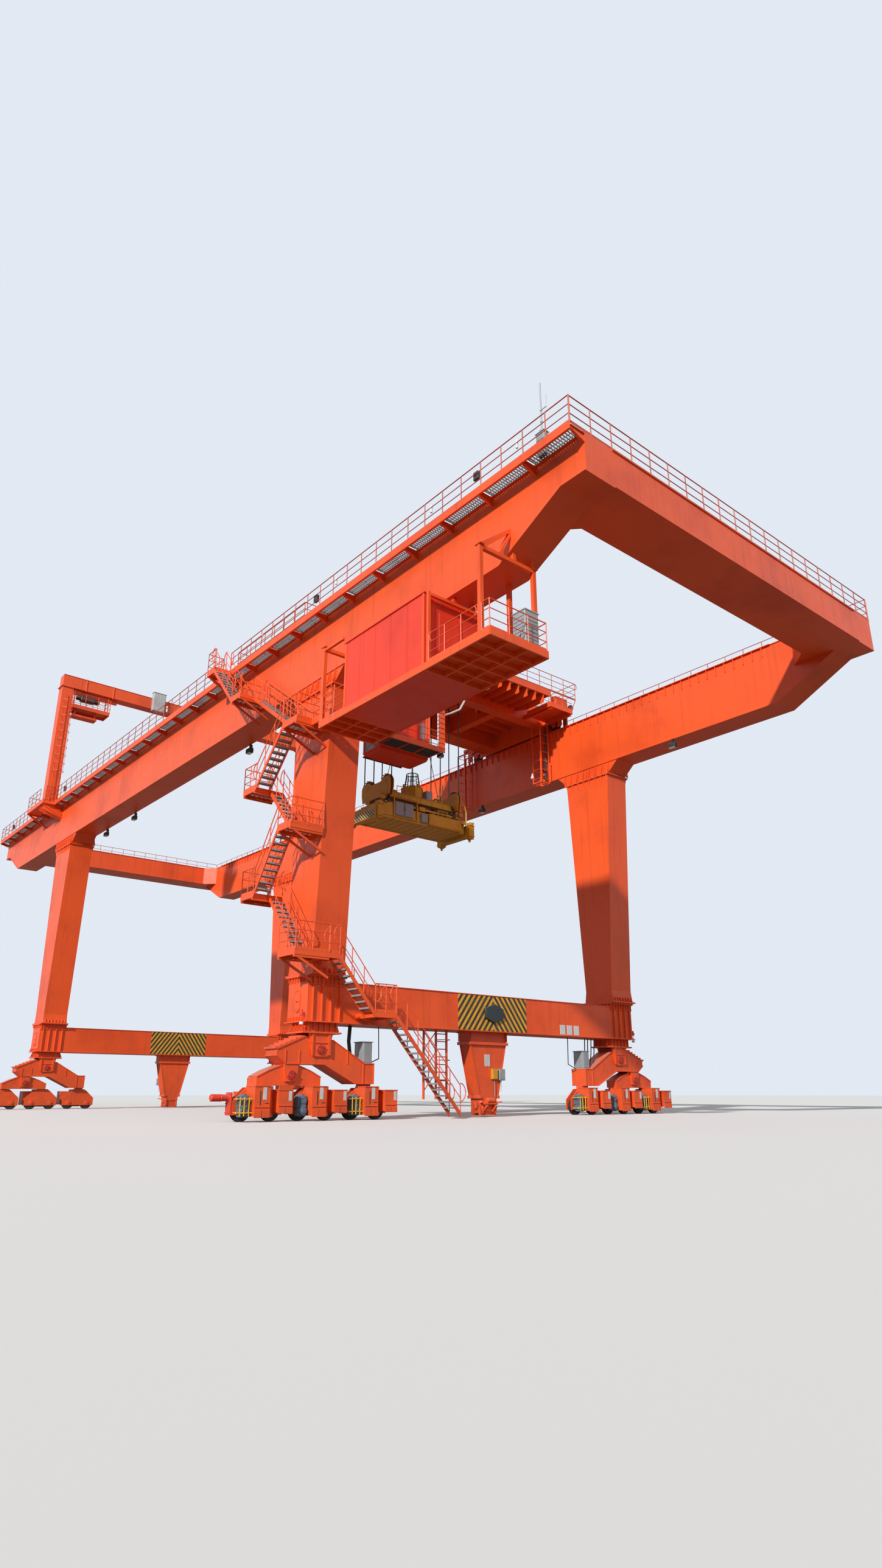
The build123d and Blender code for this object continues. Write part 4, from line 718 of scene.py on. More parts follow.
open_piece("guard_trim")
for x, y, z in (
    ((0, 0.342), (-0.006, 0.302), (0.57, 0.586)),
    ((0, 0.342), (0.45, 0.746), (0.51, 0.526)),
    ((0.326, 0.34), (0, 0.14), (0.07, 0.2)),
    ((0.326, 0.34), (0.155, 0.296), (0.07, 0.2)),
    ((0.326, 0.344), (0, 0.296), (0.235, 0.25)),
    ((0.326, 0.344), (0.459, 0.74), (0.255, 0.27)),
    ((0.326, 0.34), (0.459, 0.59), (0.13, 0.225)),
    ((0.326, 0.34), (0.605, 0.74), (0.13, 0.225)),
):
    slab(x, y, z, 0.002)
bar((0.33, 0.14), (0.3, 0.455), 0.11, 0.02, 0.06)
for y in (0.02, 0.1, 0.2, 0.28, 0.48, 0.57, 0.63, 0.72):
    bolt(0.344, y, 0.243 if y < 0.4 else 0.262, "X", 0.007, 0.01)
    bolt(0.342, y, 0.09 if y < 0.4 else 0.145, "X", 0.007, 0.01)
close_piece(places=GUARD_PLACES)

open_piece("guard_slots")
for out, y, z in (
    (0.333, (0.1, 0.118), (0.27, 0.5)),
    (0.336, (0.2, 0.27), (0.3, 0.31)),
    (0.331, (0.145, 0.152), (0.075, 0.2)),
    (0.331, (0.595, 0.601), (0.13, 0.225)),
):
    slab((0.328, out), y, z)
close_piece(slot="dark_steel", places=GUARD_PLACES)

open_piece("buffers")
slab((-0.084, 0.084), (1.614, 1.654), (0.11, 0.48), 0.006)
for y, radius, depth, soft in (
    (1.72, 0.055, 0.14, 0),
    (1.66, 0.075, 0.02, 0.004),
    (1.8, 0.062, 0.03, 0.005),
    (1.9, 0.06, 0.16, 0.01),
):
    disc(0, y, 0.39, radius, depth, "Y", 24, soft)
for side, z in product(BOTH, (0.15, 0.3, 0.45)):
    bolt(side * 0.06, 1.66, z, "Y", depth=0.014)
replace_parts(close_piece(slot="red_paint", places=CORNERS), "rail_buffers")

# Sill beams: plate boxes with flange plates, and in the middle a tapered support with a rail clamp. Hazard
# chevrons are painted on both sides over the support, round a dark blank sign box.
SILL_TOP = 2.445
SILL_HALF = 0.345
SILL_END = 3.832
MIDDLES = [(RAIL_X, 0, 0, 0), (-RAIL_X, 0, 0, 180)]


def stripes(name, size, worn, across, up, pitch, edge, rough, dark, pale):
    """Slanted stripes in worn paint: the size and reach of the wear, the direction across, the slant, the pitch, how
    soft the edges are, the gloss, and for the dark and the pale stripes the colours of the paint and of the wear."""
    finish, shader, place = painted(name)
    slant = across(place) * up + place.split(2) + 20
    band = (slant % pitch * (1 / pitch)).between(0.5 - edge, 0.5 + edge)
    wear = place.node("ShaderNodeTexNoise", Vector=place, Scale=size, Detail=5.0)
    dark, pale = (wear.between(0.3, worn).tint(*pair) for pair in (dark, pale))
    feed(shader, {"Base_Color": band.tint(dark, pale), "Roughness": wear * 0.2 + rough})
    return finish


hazard_stripes = stripes(
    "hazard_stripes", 9.0, 0.75, lambda place: place.maths("ABSOLUTE", place.split(1)), 1.35, 0.19, 0.01, 0.38,
    ((0.012, 0.011, 0.01, 1), (0.05, 0.042, 0.03, 1)), ((0.78, 0.38, 0.02, 1), (0.55, 0.26, 0.02, 1)),
)

open_piece("sill_trim")
for end in BOTH:
    for face in BOTH:
        x = end * RAIL_X + face * SILL_HALF
        for z in (SILL_LOW, SILL_TOP - 0.014):
            slab((x, x + face * 0.018), (-SILL_END, SILL_END), (z, z + 0.014))
        for y in (-2.55, -1.275, 1.275, 2.55):
            slab((x, x + face * 0.003), about(y, 0.004), (SILL_LOW, SILL_TOP))
    for side in BOTH:
        for z, half in ((SILL_LOW - 0.02, 0.56), (1.445, 0.53)):
            slab(about(end * RAIL_X, 0.21), (side * half, side * (half - 0.05)), (z, z + 0.02))
        for x, out in ((end * RAIL_X - 0.165, -0.05), (end * RAIL_X + 0.165, 0.05)):
            bar(x, (side * 0.5, side * 0.262), (1.43, 0.42), 0.02, 0.02)
            slab((x, x + out), (side * 0.5, side * 0.512), (1.5, SILL_LOW - 0.02))
    for y, x, z in product(row(11, -0.48, 0.096), about(end * RAIL_X, 0.19), (1.496, 1.424)):
        bolt(x, y, z)
close_piece()

open_piece("hazard_panels")
for end, face in product(BOTH, BOTH):
    x = end * RAIL_X + face * SILL_HALF
    slab((x, x + face * 0.005), (-0.985, 0.985), (SILL_LOW + 0.02, SILL_TOP - 0.018))
close_piece("crane", "yellow_paint", hazard_stripes)

SIGN_PLACE = (SILL_HALF + 0.03, 0, 2.07)
open_piece("sign_boxes")
bpy.ops.mesh.primitive_cylinder_add(
    vertices=6, radius=0.24, depth=0.05, location=SIGN_PLACE, rotation=(pi / 2, 0, pi / 2), calc_uvs=False
)
bpy.ops.transform.resize(value=(1, 1.25, 0.82), center_override=(SILL_HALF, 0, 2.07))
bpy.ops.mesh.bevel(offset=0.006, segments=1)
close_piece("crane", "dark_steel", paint("sign_box_finish", (0.022, 0.032, 0.035), rough=0.5, chips=0.1), MIDDLES)

# Rail clamp at the foot of each sill support: a steel jaw block with levers and a motor, with a yellow brake box
# and a grey cabinet bolted above it, and blank plates on the supports, guards and sill.
open_piece("clamp_details")
for side in BOTH:
    slab((-0.2, 0.2), (side * 0.225, side * 0.28), (0.36, 0.42), 0.004)
    slab((-0.185, 0.185), (side * 0.16, side * 0.2), (0.07, 0.3), 0.006)
    disc(0, side * 0.19, 0.2, 0.05, 0.1, "Y", 16, 0.006)
    bar((0.15, 0.24), (side * 0.2, side * 0.3), (0.28, 0.3), 0.04, 0.03)
    bar((0.14, 0.25), side * 0.13, (0.1, 0.22), 0.045, 0.04)
slab((0.165, 0.23), (-0.2, 0.2), (0.24, 0.28), 0.005)
disc(0.2, 0, 0.32, 0.055, 0.2, "Y", 20, 0.008)
for y in row(6, -0.15, 0.06):
    bolt(0.236, y, 0.26, "X", 0.01)
close_piece(places=MIDDLES)

open_piece("clamp_box")
slab((0.165, 0.235), (0.06, 0.21), (0.74, 0.95), 0.006)
slab((0.235, 0.241), (0.075, 0.195), (0.755, 0.935), 0.003)
close_piece(slot="yellow_paint", places=MIDDLES)

open_piece("clamp_cabinet")
slab((0.165, 0.235), (0.25, 0.42), (0.72, 0.95), 0.006)
slab((0.235, 0.24), (0.262, 0.408), (0.735, 0.935), 0.003)
bar(0.2, (0.335, 0.31), (0.72, 0.5), 0.012)
bar(0.2, 0.135, (0.74, 0.4), 0.012)
close_piece(slot="grey_paint", places=MIDDLES)

white_enamel = paint("white_enamel_finish", (0.62, 0.63, 0.62), rough=0.4, dust=0.3, streak=0.15, chips=0.0)
open_piece("plain_plates")
for end in BOTH:
    x = end * (RAIL_X + 0.165)
    slab((x, x + end * 0.006), (-0.11, 0.04), (1.0, 1.24), 0.002)
x = OUTER_FACE + 0.33
for y in BOGIES:
    slab((x, x + 0.005), (y - 0.0815, y - 0.0115), (0.36, 0.56), 0.001)
    slab((x, x + 0.005), (y + 0.4235, y + 0.4835), (0.34, 0.5), 0.001)
x = RAIL_X + SILL_HALF
for y in (2.05, 2.28, 2.51):
    slab((x, x + 0.006), (y, y + 0.17), (1.72, 1.93), 0.002)
close_piece("crane", "grey_paint", white_enamel)

# Cabinets of folded sheet steel: one on the inner arm of each near equalizer, with doors under a rain lid and
# black cables that come down to it from the sill beam, the junction box on the portal, and the air unit.
open_piece("cabinet_doors")
slab((-0.15, 0.15), (-0.1, 0.1), (0.99, 1.385), 0.004)
slab((-0.165, 0.165), (-0.12, 0.12), (1.385, 1.4), 0.003)
slab((-0.16, 0.16), (-0.11, 0.11), (0.99, 1.01), 0.003)
for x, face in product(((-0.14, -0.004), (0.004, 0.14)), BOTH):
    slab(x, (face * 0.1, face * 0.106), (1.02, 1.37), 0.002)
for face in BOTH:
    slab((face * 0.15, face * 0.155), (-0.085, 0.085), (1.02, 1.37), 0.002)
    slab((-0.02, -0.01), (face * 0.106, face * 0.116), (1.17, 1.23), 0.002)
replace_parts(close_piece(slot="grey_paint", places=[(RAIL_X, side * 3.105, 0, 0) for side in BOTH]), "control_cabinets")

open_piece("portal_box")
slab((-8.76, -8.59), (-1.87, -1.39), (14.38, 15.12), 0.004)
slab((-8.775, -8.57), (-1.89, -1.37), (15.12, 15.14), 0.003)
for y in ((-1.855, -1.635), (-1.625, -1.405)):
    slab((-8.59, -8.583), y, (14.4, 15.1), 0.002)
slab((-8.583, -8.572), (-1.66, -1.65), (14.7, 14.8), 0.002)
pale_grey = paint("pale_grey_finish", (0.5, 0.52, 0.52), rough=0.45, metal=0.1)
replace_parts(close_piece(slot="grey_paint", finish=pale_grey), "control_cabinets")

open_piece("cooler")
slab((13.62, 13.9), (-4.389, -4.089), (7.045, 7.745), 0.006)
slab((13.61, 13.91), (-4.399, -4.079), (7.72, 7.745), 0.004)
for z in row(9, 7.12, 0.065):
    bar((13.9, 13.908), -4.24, z, 0.26, 0.03)
    bar(13.76, (-4.389, -4.397), z, 0.24, 0.03)
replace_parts(close_piece(slot="grey_paint"), "control_cabinets")


def hose(points, width, sides=6):
    """A cable or bent bar through a few points, in straight runs that overlap at the bends."""
    for start, end in zip(points, points[1:]):
        strut(Vector(start), Vector(end), width, sides=sides)


open_piece("cables")
for side in BOTH:
    for lean, x in zip((-0.07, -0.02, 0.04, 0.09), row(4, RAIL_X - 0.1, 0.05)):
        y = side * (3.42 + lean)
        bends = [(x, y + 0.02, SILL_LOW), (x, y, 1.4), (x, y - side * 0.03, 1.2), (x - 0.02, y - side * 0.09, 1.03)]
        hose([*bends, (x - 0.02, side * 3.21, 0.999)], 0.024)
    x = RAIL_X - 0.05
    hose([(x, side * 2.72, SILL_LOW), (x, side * 2.7, 1.1), (x, side * 2.95, 1.0)], 0.02)
close_piece("crane", "dark_steel", paint("rubber_finish", (0.014, 0.014, 0.015), rough=0.6, dust=0.4, chips=0.0))

# Lamps and horns: floodlights bolted under the girders, white tube lamps on the railing posts, and a red horn
# with a round lens on a bracket at each near base.
FLOOD_SPOTS = ((-5.89, -3.87), (-3.53, -3.87), (3.815, -3.87), (10.71, 3.87), (-5.89, 3.87), (3.815, 3.87))
HORN_X = RAIL_X + 0.3
lamp_glass = plain("lamp_glass", Base_Color=(0.75, 0.77, 0.78, 1), Roughness=0.12, Coat_Weight=0.5)[0]

open_piece("floodlights")
for x, y in FLOOD_SPOTS:
    slab(about(x, 0.012), about(y, 0.04), (8.54, SOFFIT), 0.003)
    bar(about(x, 0.09), y, 8.5, 0.03, 0.05)
    slab(about(x, 0.1), (y - 0.09, y + 0.03), (8.39, 8.51), 0.012)
close_piece(slot="dark_steel")

open_piece("lamp_faces")
for x, y in FLOOD_SPOTS:
    slab(about(x, 0.085), (y - 0.085, y + 0.02), (8.382, 8.392), 0.003)
for side in BOTH:
    disc(HORN_X, side * (GIRDER_Y + 0.47), 1.66, 0.04, 0.05, "Z", 16, 0.008)
for x in (-13.2, -11.2, -6.6, -2.3, 0.6, 5.9, 9.0, 12.1, 14.3):
    disc(x, WALK_EDGE + 0.03, DECK + 0.34, 0.022, 0.17, "Z", 12, 0.006)
close_piece("crane", "grey_paint", lamp_glass)

open_piece("signal_horns")
for side in BOTH:
    y = side * (GIRDER_Y + 0.47)
    bar(HORN_X, y, (1.68, 1.78), 0.016)
    bar((HORN_X, HORN_X - 0.05), (y, y - side * 0.04), 1.72, 0.02)
    disc(HORN_X, y, 1.83, 0.035, 0.07, "Z", 16, 0.008)
    disc(HORN_X, y, 1.88, 0.02, 0.05, "Z", 12, 0.004)
close_piece(slot="red_paint")

# Landings: channel frames filled with grating that is seen from below, replacing the plain slabs, and the bent
# ends of the stair's handrails.
FLOORS = [((low, high), (STAIR_OUTER, inner), z) for low, high, z, inner in LANDINGS] + [
    ((8.5, 9.265), (-4.9505, -4.58), 7.425),
    ((8.375, 8.9), (-4.58, -4.35), 2.86),
    ((8.27, 8.9), (-3.53, -3.05), 1.875),
]

open_piece("landing_frames")
for (x0, x1), (y0, y1), z in FLOORS:
    for y in (y0, y1 - 0.012):
        slab((x0, x1), (y, y + 0.012), (z - 0.09, z))
    for x in (x0, x1 - 0.012):
        slab((x, x + 0.012), (y0, y1), (z - 0.09, z))
    for y in (y0, y1 - 0.035):
        slab((x0, x1), (y, y + 0.035), (z - 0.09, z - 0.082))
    slab(about((x0 + x1) / 2, 0.012), (y0, y1), (z - 0.08, z - 0.03))
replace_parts(close_piece(), "stair_landings")

open_piece("landing_gratings")
for (x0, x1), (y0, y1), z in FLOORS:
    count = round((x1 - x0) / 0.045)
    for i in range(1, count):
        slab(about(x0 + (x1 - x0) * i / count, 0.007), inside((y0, y1), 0.01), (z - 0.032, z - 0.004))
    count = max(2, round((y1 - y0) / 0.11))
    for i in range(1, count):
        slab(inside((x0, x1), 0.01), about(y0 + (y1 - y0) * i / count, 0.004), (z - 0.024, z - 0.008))
close_piece(slot="grey_paint")


def loop(x, y, z, run, low=0.18, high=0.52):
    """The bent end of a handrail: a half ring in the plane of the run, from one rail down to the next."""
    middle, radius = (low + high) / 2, (high - low) / 2
    foot, run = Vector((x, y, z)), Vector((*run, 0))
    turns = (i * pi / 6 for i in range(7))
    hose([foot + run * radius * 0.8 * sin(a) + UP * (middle + radius * cos(a)) for a in turns], 0.02)


open_piece("rail_loops")
for x, z, lane in FLIGHTS:
    way = 1 if x[1] > x[0] else -1
    for y in inside(lane, 0.01):
        loop(x[0], y, z[0], (-way, 0))
        loop(x[1], y, z[1], (way, 0))
for y, z in FRONT_FLIGHTS:
    for x in inside(FRONT_LANE, 0.01):
        loop(x, y[0], z[0], (0, -1))
        loop(x, y[1], z[1], (0, 1))
for x, way in zip(STAIR_HEAD, BOTH):
    loop(x, WALK_EDGE + 0.012, DECK, (way, 0))
close_piece()

# Ladder frame of round tube that hangs under the near sill beam beside the last flight, with rungs, side braces
# and safety hoops.
open_piece("sill_ladder")
for y in (-1.62, -1.3, -1.02):
    bar(RAIL_X, y, (SILL_LOW, 0.35), 0.05, sides=8)
for z in row(9, 0.42, 0.15):
    bar(RAIL_X, (-1.3, -1.02), z, 0.02)
for z in row(3, 0.5, 0.4):
    bar(RAIL_X, (-1.62, -1.3), (z, z + 0.36), 0.022)
    bar(RAIL_X, (-1.62, -1.3), (z + 0.36, z), 0.022)
    turns = (i * pi / 4 for i in range(5))
    hose([(RAIL_X + 0.22 * sin(a), -1.16 + 0.14 * cos(a), z + 0.2) for a in turns], 0.016)
close_piece()

# Electrical house: a red sheet-steel cabin in an orange frame, with folded wall seams, a door at its near end
# and railings on the platforms.
x0, x1 = 10.075, 12.425
HOUSE_Y = y0, y1 = -5.2505, -3.9995
HOUSE_Z = z0, z1 = 6.935, 8.375
FLOOR_Z = 7.045
FAR_FRAME = 9.265
NEAR_END = 14.0

open_piece("house_skin")
for x, y in product(row(4, x0 + 0.47, 0.47), HOUSE_Y):
    slab(about(x, 0.012), about(y, 0.004), (z0 + 0.06, z1 - 0.03))
slab((x0 - 0.02, x1 + 0.02), (y0 - 0.02, y1 + 0.02), (z1, z1 + 0.02))
slab((x1, x1 + 0.014), (-4.95, -4.5), (FLOOR_Z + 0.02, 8.1), 0.004)
slab((x1 + 0.014, x1 + 0.03), (-4.58, -4.55), (7.5, 7.6), 0.003)
for y in (-4.99, -4.47):
    slab((x1, x1 + 0.02), about(y, 0.012), (FLOOR_Z, 8.14))
slab((x0 - 0.012, x0), (-4.9, -4.45), (FLOOR_Z + 0.02, 8.1), 0.004)
close_piece(slot="red_paint")

open_piece("house_trim")
for y, out in zip(HOUSE_Y, (-0.014, 0.014)):
    slab((FAR_FRAME, NEAR_END), (y, y + out), (z0 - 0.006, FLOOR_Z + 0.01))
    for x in (x0, x1 - 0.05):
        slab((x, x + 0.05), (y, y + out * 0.6), HOUSE_Z)
for x in (FAR_FRAME, NEAR_END):
    slab(about(x, 0.014), HOUSE_Y, (z0 - 0.006, FLOOR_Z + 0.01))
for x, y in product((9.3, 13.77), inside(HOUSE_Y, 0.035)):
    for z in ((SOFFIT - 0.012, SOFFIT + 0.006), (FLOOR_Z, FLOOR_Z + 0.014)):
        slab(about(x, 0.07), about(y, 0.05), z, 0.002)
    for bolt_x in about(x, 0.05):
        bolt(bolt_x, y, SOFFIT - 0.018, "Z", 0.012, 0.014)
slab((12.48, 12.53), (y0, y0 + 0.05), (FLOOR_Z, z1))
slab((12.48, 12.53), HOUSE_Y, (8.3, 8.35))
slab((12.48, 12.53), (y1 - 0.05, y1), (FLOOR_Z, SOFFIT))
bar((9.3, 9.95), y0 + 0.035, 8.56, 0.05, 0.05)
bar((9.3, 10.075), y1 - 0.035, 8.0, 0.04, 0.04)
close_piece()

open_piece("house_railings")
outer, inner, near = y0 + 0.012, y1 - 0.012, NEAR_END - 0.012
for x, y in (
    ((12.53, 13.73), outer),
    ((13.81, near), outer),
    (near, (outer, inner)),
    ((12.53, near), inner),
    ((9.34, x0), outer),
    ((9.34, x0), inner),
):
    railing(x, y, FLOOR_Z, 0.4)
for x, way in ((13.73, 1), (12.53, -1)):
    loop(x - way * 0.1, outer - 0.006, FLOOR_Z, (way, 0), 0.35)
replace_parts(close_piece(), "house_handrails")

open_piece("small_cases")
slab((13.28, 13.52), (-4.62, -4.42), (FLOOR_Z, FLOOR_Z + 0.36), 0.01)
slab((13.3, 13.5), (-4.6, -4.44), (FLOOR_Z + 0.36, FLOOR_Z + 0.38), 0.004)
for x, low in ((-14.0, 0.2), (-7.9, 0.2), (8.2, 0.22), (13.3, 0.25)):
    slab(about(x, 0.06), (WALK_EDGE + 0.02, WALK_EDGE + 0.09), (DECK + low, DECK + low + 0.16), 0.006)
close_piece(slot="dark_steel")

# Service portal: box posts and a box beam with bolted splices, a caged ladder up the left post and a railed
# platform with a chain hoist.
COLUMN_Y = 4.9805
BEAM_LOW, BEAM_TOP = 14.48, 14.93
PLATFORM_Y = y0, y1 = -4.7805, -3.4305
PLATFORM_Z = 13.8
PLATFORM_EDGE = (PLATFORM_Z - 0.1, PLATFORM_Z + 0.04)

open_piece("portal_trim")
for side in BOTH:
    y = side * COLUMN_Y
    slab(about(PORTAL_X, 0.24), (y - 0.24, y + 0.22), about(BEAM_LOW, 0.02), 0.003)
    slab(about(PORTAL_X, 0.26), (y - 0.25, y + 0.24), (DECK, DECK + 0.03), 0.003)
    for face in BOTH:
        x = (PORTAL_X + face * 0.2, PORTAL_X + face * 0.25)
        for step in about(y, 0.12):
            bar(x, step, (DECK + 0.2, DECK + 0.03), 0.012, 0.04)
        for step, z in product(row(4, y - 0.18, 0.12), (BEAM_LOW + 0.026, BEAM_LOW - 0.026)):
            bolt(PORTAL_X + face * 0.225, step, z, depth=0.014)
for y in (-4.35, -3.35, -1.2, 1.2, 3.3):
    slab(about(PORTAL_X, 0.225), about(y, 0.012), (BEAM_LOW - 0.03, BEAM_TOP + 0.02), 0.002)
for z in (BEAM_LOW, BEAM_TOP - 0.012):
    slab(about(PORTAL_X, 0.215), (-5.18, 5.18), (z, z + 0.012))
slab(about(PORTAL_X, 0.04), (y0, y1 + 0.3), (BEAM_LOW - 0.16, BEAM_LOW - 0.03), 0.004)
bar(PORTAL_X, (-5.2, WEB), (9.95, 9.52), 0.3, 0.05)
for face in BOTH:
    bar(PORTAL_X + face * 0.16, (-5.2, WEB), (9.93, 9.72), 0.012, 0.32)
    slab((PORTAL_X + face * 0.3 - 0.02, PORTAL_X + face * 0.3), PLATFORM_Y, PLATFORM_EDGE)
for y in (y0, y1 - 0.02):
    slab(about(PORTAL_X, 0.3), (y, y + 0.02), PLATFORM_EDGE)
close_piece()

# One ladder hoop from stile to stile, about the ladder's middle.
HOOP = [(0, -0.11), (0.1, -0.18), (0.24, -0.17), (0.33, -0.07), (0.33, 0.07), (0.24, 0.17), (0.1, 0.18), (0, 0.11)]
open_piece("portal_ladder")
x, y = PORTAL_X + 0.28, -COLUMN_Y
stiles = about(y, 0.11)
for stile in stiles:
    bar(x, stile, (DECK, 14.2), 0.022)
for z in row(27, DECK + 0.12, 0.15):
    bar(x, stiles, z, 0.014)
for z, stile in product(row(6, DECK + 0.3, 0.7), stiles):
    bar((x, PORTAL_X + 0.2), stile, z, 0.014)
for z in row(10, DECK + 1.05, 0.3):
    hose([(x + dx, y + dy, z) for dx, dy in HOOP], 0.016)
for dx, dy in (HOOP[1], HOOP[3], HOOP[4], HOOP[6]):
    bar(x + dx, y + dy, (DECK + 1.05, DECK + 3.75), 0.012)
close_piece()

open_piece("portal_railings")
for x in about(PORTAL_X, 0.29):
    railing(x, PLATFORM_Y, PLATFORM_Z, 0.4, toe=False)
railing(about(PORTAL_X, 0.29), y1, PLATFORM_Z, 0.4, toe=False)
close_piece()

open_piece("portal_hoist")
slab(about(PORTAL_X, 0.12), (-4.45, -3.95), (14.12, 14.32), 0.02)
disc(PORTAL_X, -3.87, 14.22, 0.09, 0.2, "Y", 20, 0.01)
disc(PORTAL_X, -4.52, 14.22, 0.075, 0.16, "Y", 20, 0.01)
for y in (-4.35, -4.05):
    disc(PORTAL_X, y, 14.36, 0.05, 0.06, "X", 16, 0.006)
bar(PORTAL_X, -4.2, (14.12, 13.81), 0.02)
close_piece(slot="dark_steel")

# Wheels and buffers of the trolley: flanged steel wheels in axle plates under the side beams, and rubber buffers
# bolted to the beams' noses.
SIDE_BEAM = x0, x1 = 3.175, 7.125
WHEEL_Z = 10.285
WHEEL_SPOTS = [(5.15 + end * 1.625, side * RUNWAY_Y) for end in BOTH for side in BOTH]

open_piece("trolley_tyres")
disc(0, 0, 0, 0.148, 0.072, "Y", 32, 0.005)
for face in BOTH:
    disc(0, face * 0.041, 0, 0.166, 0.012, "Y", 32, 0.003)
    disc(0, face * 0.055, 0, 0.06, 0.03, "Y", 20, 0.004)
    disc(0, face * 0.074, 0, 0.035, 0.012, "Y", 12, 0.003)
tyre_places = [(x, y, WHEEL_Z, 0) for x, y in WHEEL_SPOTS]
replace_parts(close_piece("trolley", "dark_steel", places=tyre_places), "trolley_wheels")

open_piece("trolley_buffers")
for side, (x, way) in product(BOTH, zip(SIDE_BEAM, BOTH)):
    y = side * RUNWAY_Y
    disc(x + way * 0.012, y, 10.64, 0.1, 0.024, "X", 20, 0.004)
    disc(x + way * 0.12, y, 10.64, 0.06, 0.2, "X", 20, 0.006)
    disc(x + way * 0.25, y, 10.64, 0.085, 0.07, "X", 24, 0.018)
    slab((x + way * 0.06, x + way * 0.09), about(y, 0.03), (10.16, 10.46), 0.004)
close_piece("trolley", "dark_steel", paint("buffer_red_finish", (0.3, 0.03, 0.02), rough=0.5))

# Plate edges of the trolley's box beams, angle stringers welded under its deck plate, the deck's kerb, and round
# caps bolted over the wheels' axles.
NEAR_BEAM = (6.2, 6.475)
FAR_BEAM = (3.8, 4.35)
FRAME_LOW, FRAME_TOP = 10.3, 10.805
TROLLEY_FLOOR = 10.835
BETWEEN = (FAR_BEAM[1], NEAR_BEAM[0])

open_piece("trolley_trim")
for beam in (NEAR_BEAM, FAR_BEAM):
    for x, out in zip(beam, (-0.02, 0.02)):
        slab((x, x + out), (-3.885, 3.885), (FRAME_LOW, FRAME_LOW + 0.012))
        for y in row(9, -3.6, 0.9):
            slab((x, x + out * 0.4), about(y, 0.006), (FRAME_LOW + 0.012, FRAME_TOP - 0.012))
for side in BOTH:
    for y, out in ((side * 2.15, -side * 0.02), (side * 2.35, side * 0.02)):
        slab(BETWEEN, (y, y + out), (10.36, 10.374))
    for y, out in ((side * 3.885, -side * 0.012), (side * 4.115, side * 0.012)):
        slab(SIDE_BEAM, (y, y + out), (10.455, 10.469))
        for x in ((x0, 3.34), (3.72, 6.58), (6.96, x1)):
            slab(x, (y, y + out), (10.16, 10.46))
    for x in (4.62, 5.02, 5.46, 5.9):
        slab((x, x + 0.012), (side * 2.35, side * 3.885), (10.66, FRAME_TOP))
        slab((x - 0.05, x + 0.012), (side * 2.35, side * 3.885), (10.66, 10.672))
    for x in SIDE_BEAM:
        slab(about(x, 0.012), (side * 3.87, side * 4.13), (10.455, FRAME_TOP), 0.002)
    slab((x0, NEAR_BEAM[1]), (side * 4.105, side * 4.127), (FRAME_TOP, 10.87))
for y in row(4, -1.5, 1.0):
    slab(BETWEEN, (y, y + 0.012), (10.64, FRAME_TOP))
    slab(BETWEEN, (y - 0.06, y + 0.012), (10.64, 10.652))
slab((x0, x0 + 0.012), (-4.115, 4.115), (FRAME_TOP, 10.87))
for side, end, face in product(BOTH, BOTH, BOTH):
    x, y = 5.15 + end * 1.625, side * RUNWAY_Y + face * 0.088
    disc(x, y, WHEEL_Z, 0.07, 0.03, "Y", 16, 0.004)
    for dx, dz in ring(6, 0.05):
        bolt(x + dx, y + face * 0.017, WHEEL_Z + dz, "Y", 0.009)
close_piece("trolley")

# Walkway along the trolley's near side: an orange channel as its edge, plate brackets that taper out from the
# box beam, a floor plate and open grating, and a lower platform at its right corner with a louvred box.
BEAM_FACE = NEAR_BEAM[1]
NOSE = 7.55
WALK = (-3.0, 3.0)
CORNER_X, CORNER_Y, CORNER_Z = 6.65, 3.87, 10.475
BRACKET_START, BRACKET_PITCH = -2.84, 0.3105


def cut(place, normal):
    """Cuts off the part of the last shape that lies on the normal's side of a plane, and closes the cut."""
    bpy.ops.mesh.bisect(plane_co=place, plane_no=normal, use_fill=True, clear_outer=True)


open_piece("trolley_edges")
slab((NOSE - 0.012, NOSE), WALK, (10.64, 10.81))
for z in (10.64, 10.8):
    slab((NOSE - 0.05, NOSE), WALK, (z, z + 0.01))
for y in WALK:
    slab((BEAM_FACE, NOSE), about(y, 0.006), (10.66, 10.81))
slab((BEAM_FACE, 7.54), WALK, (10.762, 10.772))
for y in row(19, BRACKET_START, BRACKET_PITCH):
    slab((BEAM_FACE, 7.54), about(y, 0.006), (10.4, 10.762))
    cut((BEAM_FACE, y, 10.5), (-0.25, 0, -1))
    slab((BEAM_FACE, 7.54), about(y, 0.025), (10.75, 10.762))
slab((CORNER_X, NOSE), (WALK[1], CORNER_Y), (10.455, 10.467))
for y in (WALK[1], CORNER_Y - 0.014):
    slab((CORNER_X, NOSE), (y, y + 0.014), (10.35, CORNER_Z + 0.02), 0.002)
for x in (CORNER_X, NOSE - 0.014):
    slab((x, x + 0.014), (WALK[1], CORNER_Y), (10.35, CORNER_Z + 0.02), 0.002)
for y in (3.06, 3.81):
    slab((BEAM_FACE, NOSE - 0.02), about(y, 0.035), (FRAME_LOW, FRAME_LOW + 0.01))
    slab((BEAM_FACE, NOSE - 0.02), about(y, 0.006), (FRAME_LOW, 10.455))
slab((7.4, 7.53), (3.22, 3.68), (CORNER_Z, 10.71), 0.006)
for z in row(6, CORNER_Z + 0.05, 0.032):
    bar(7.532, (3.26, 3.64), z, 0.006, 0.018)
slab((7.39, 7.54), (3.21, 3.69), (10.71, 10.722), 0.002)
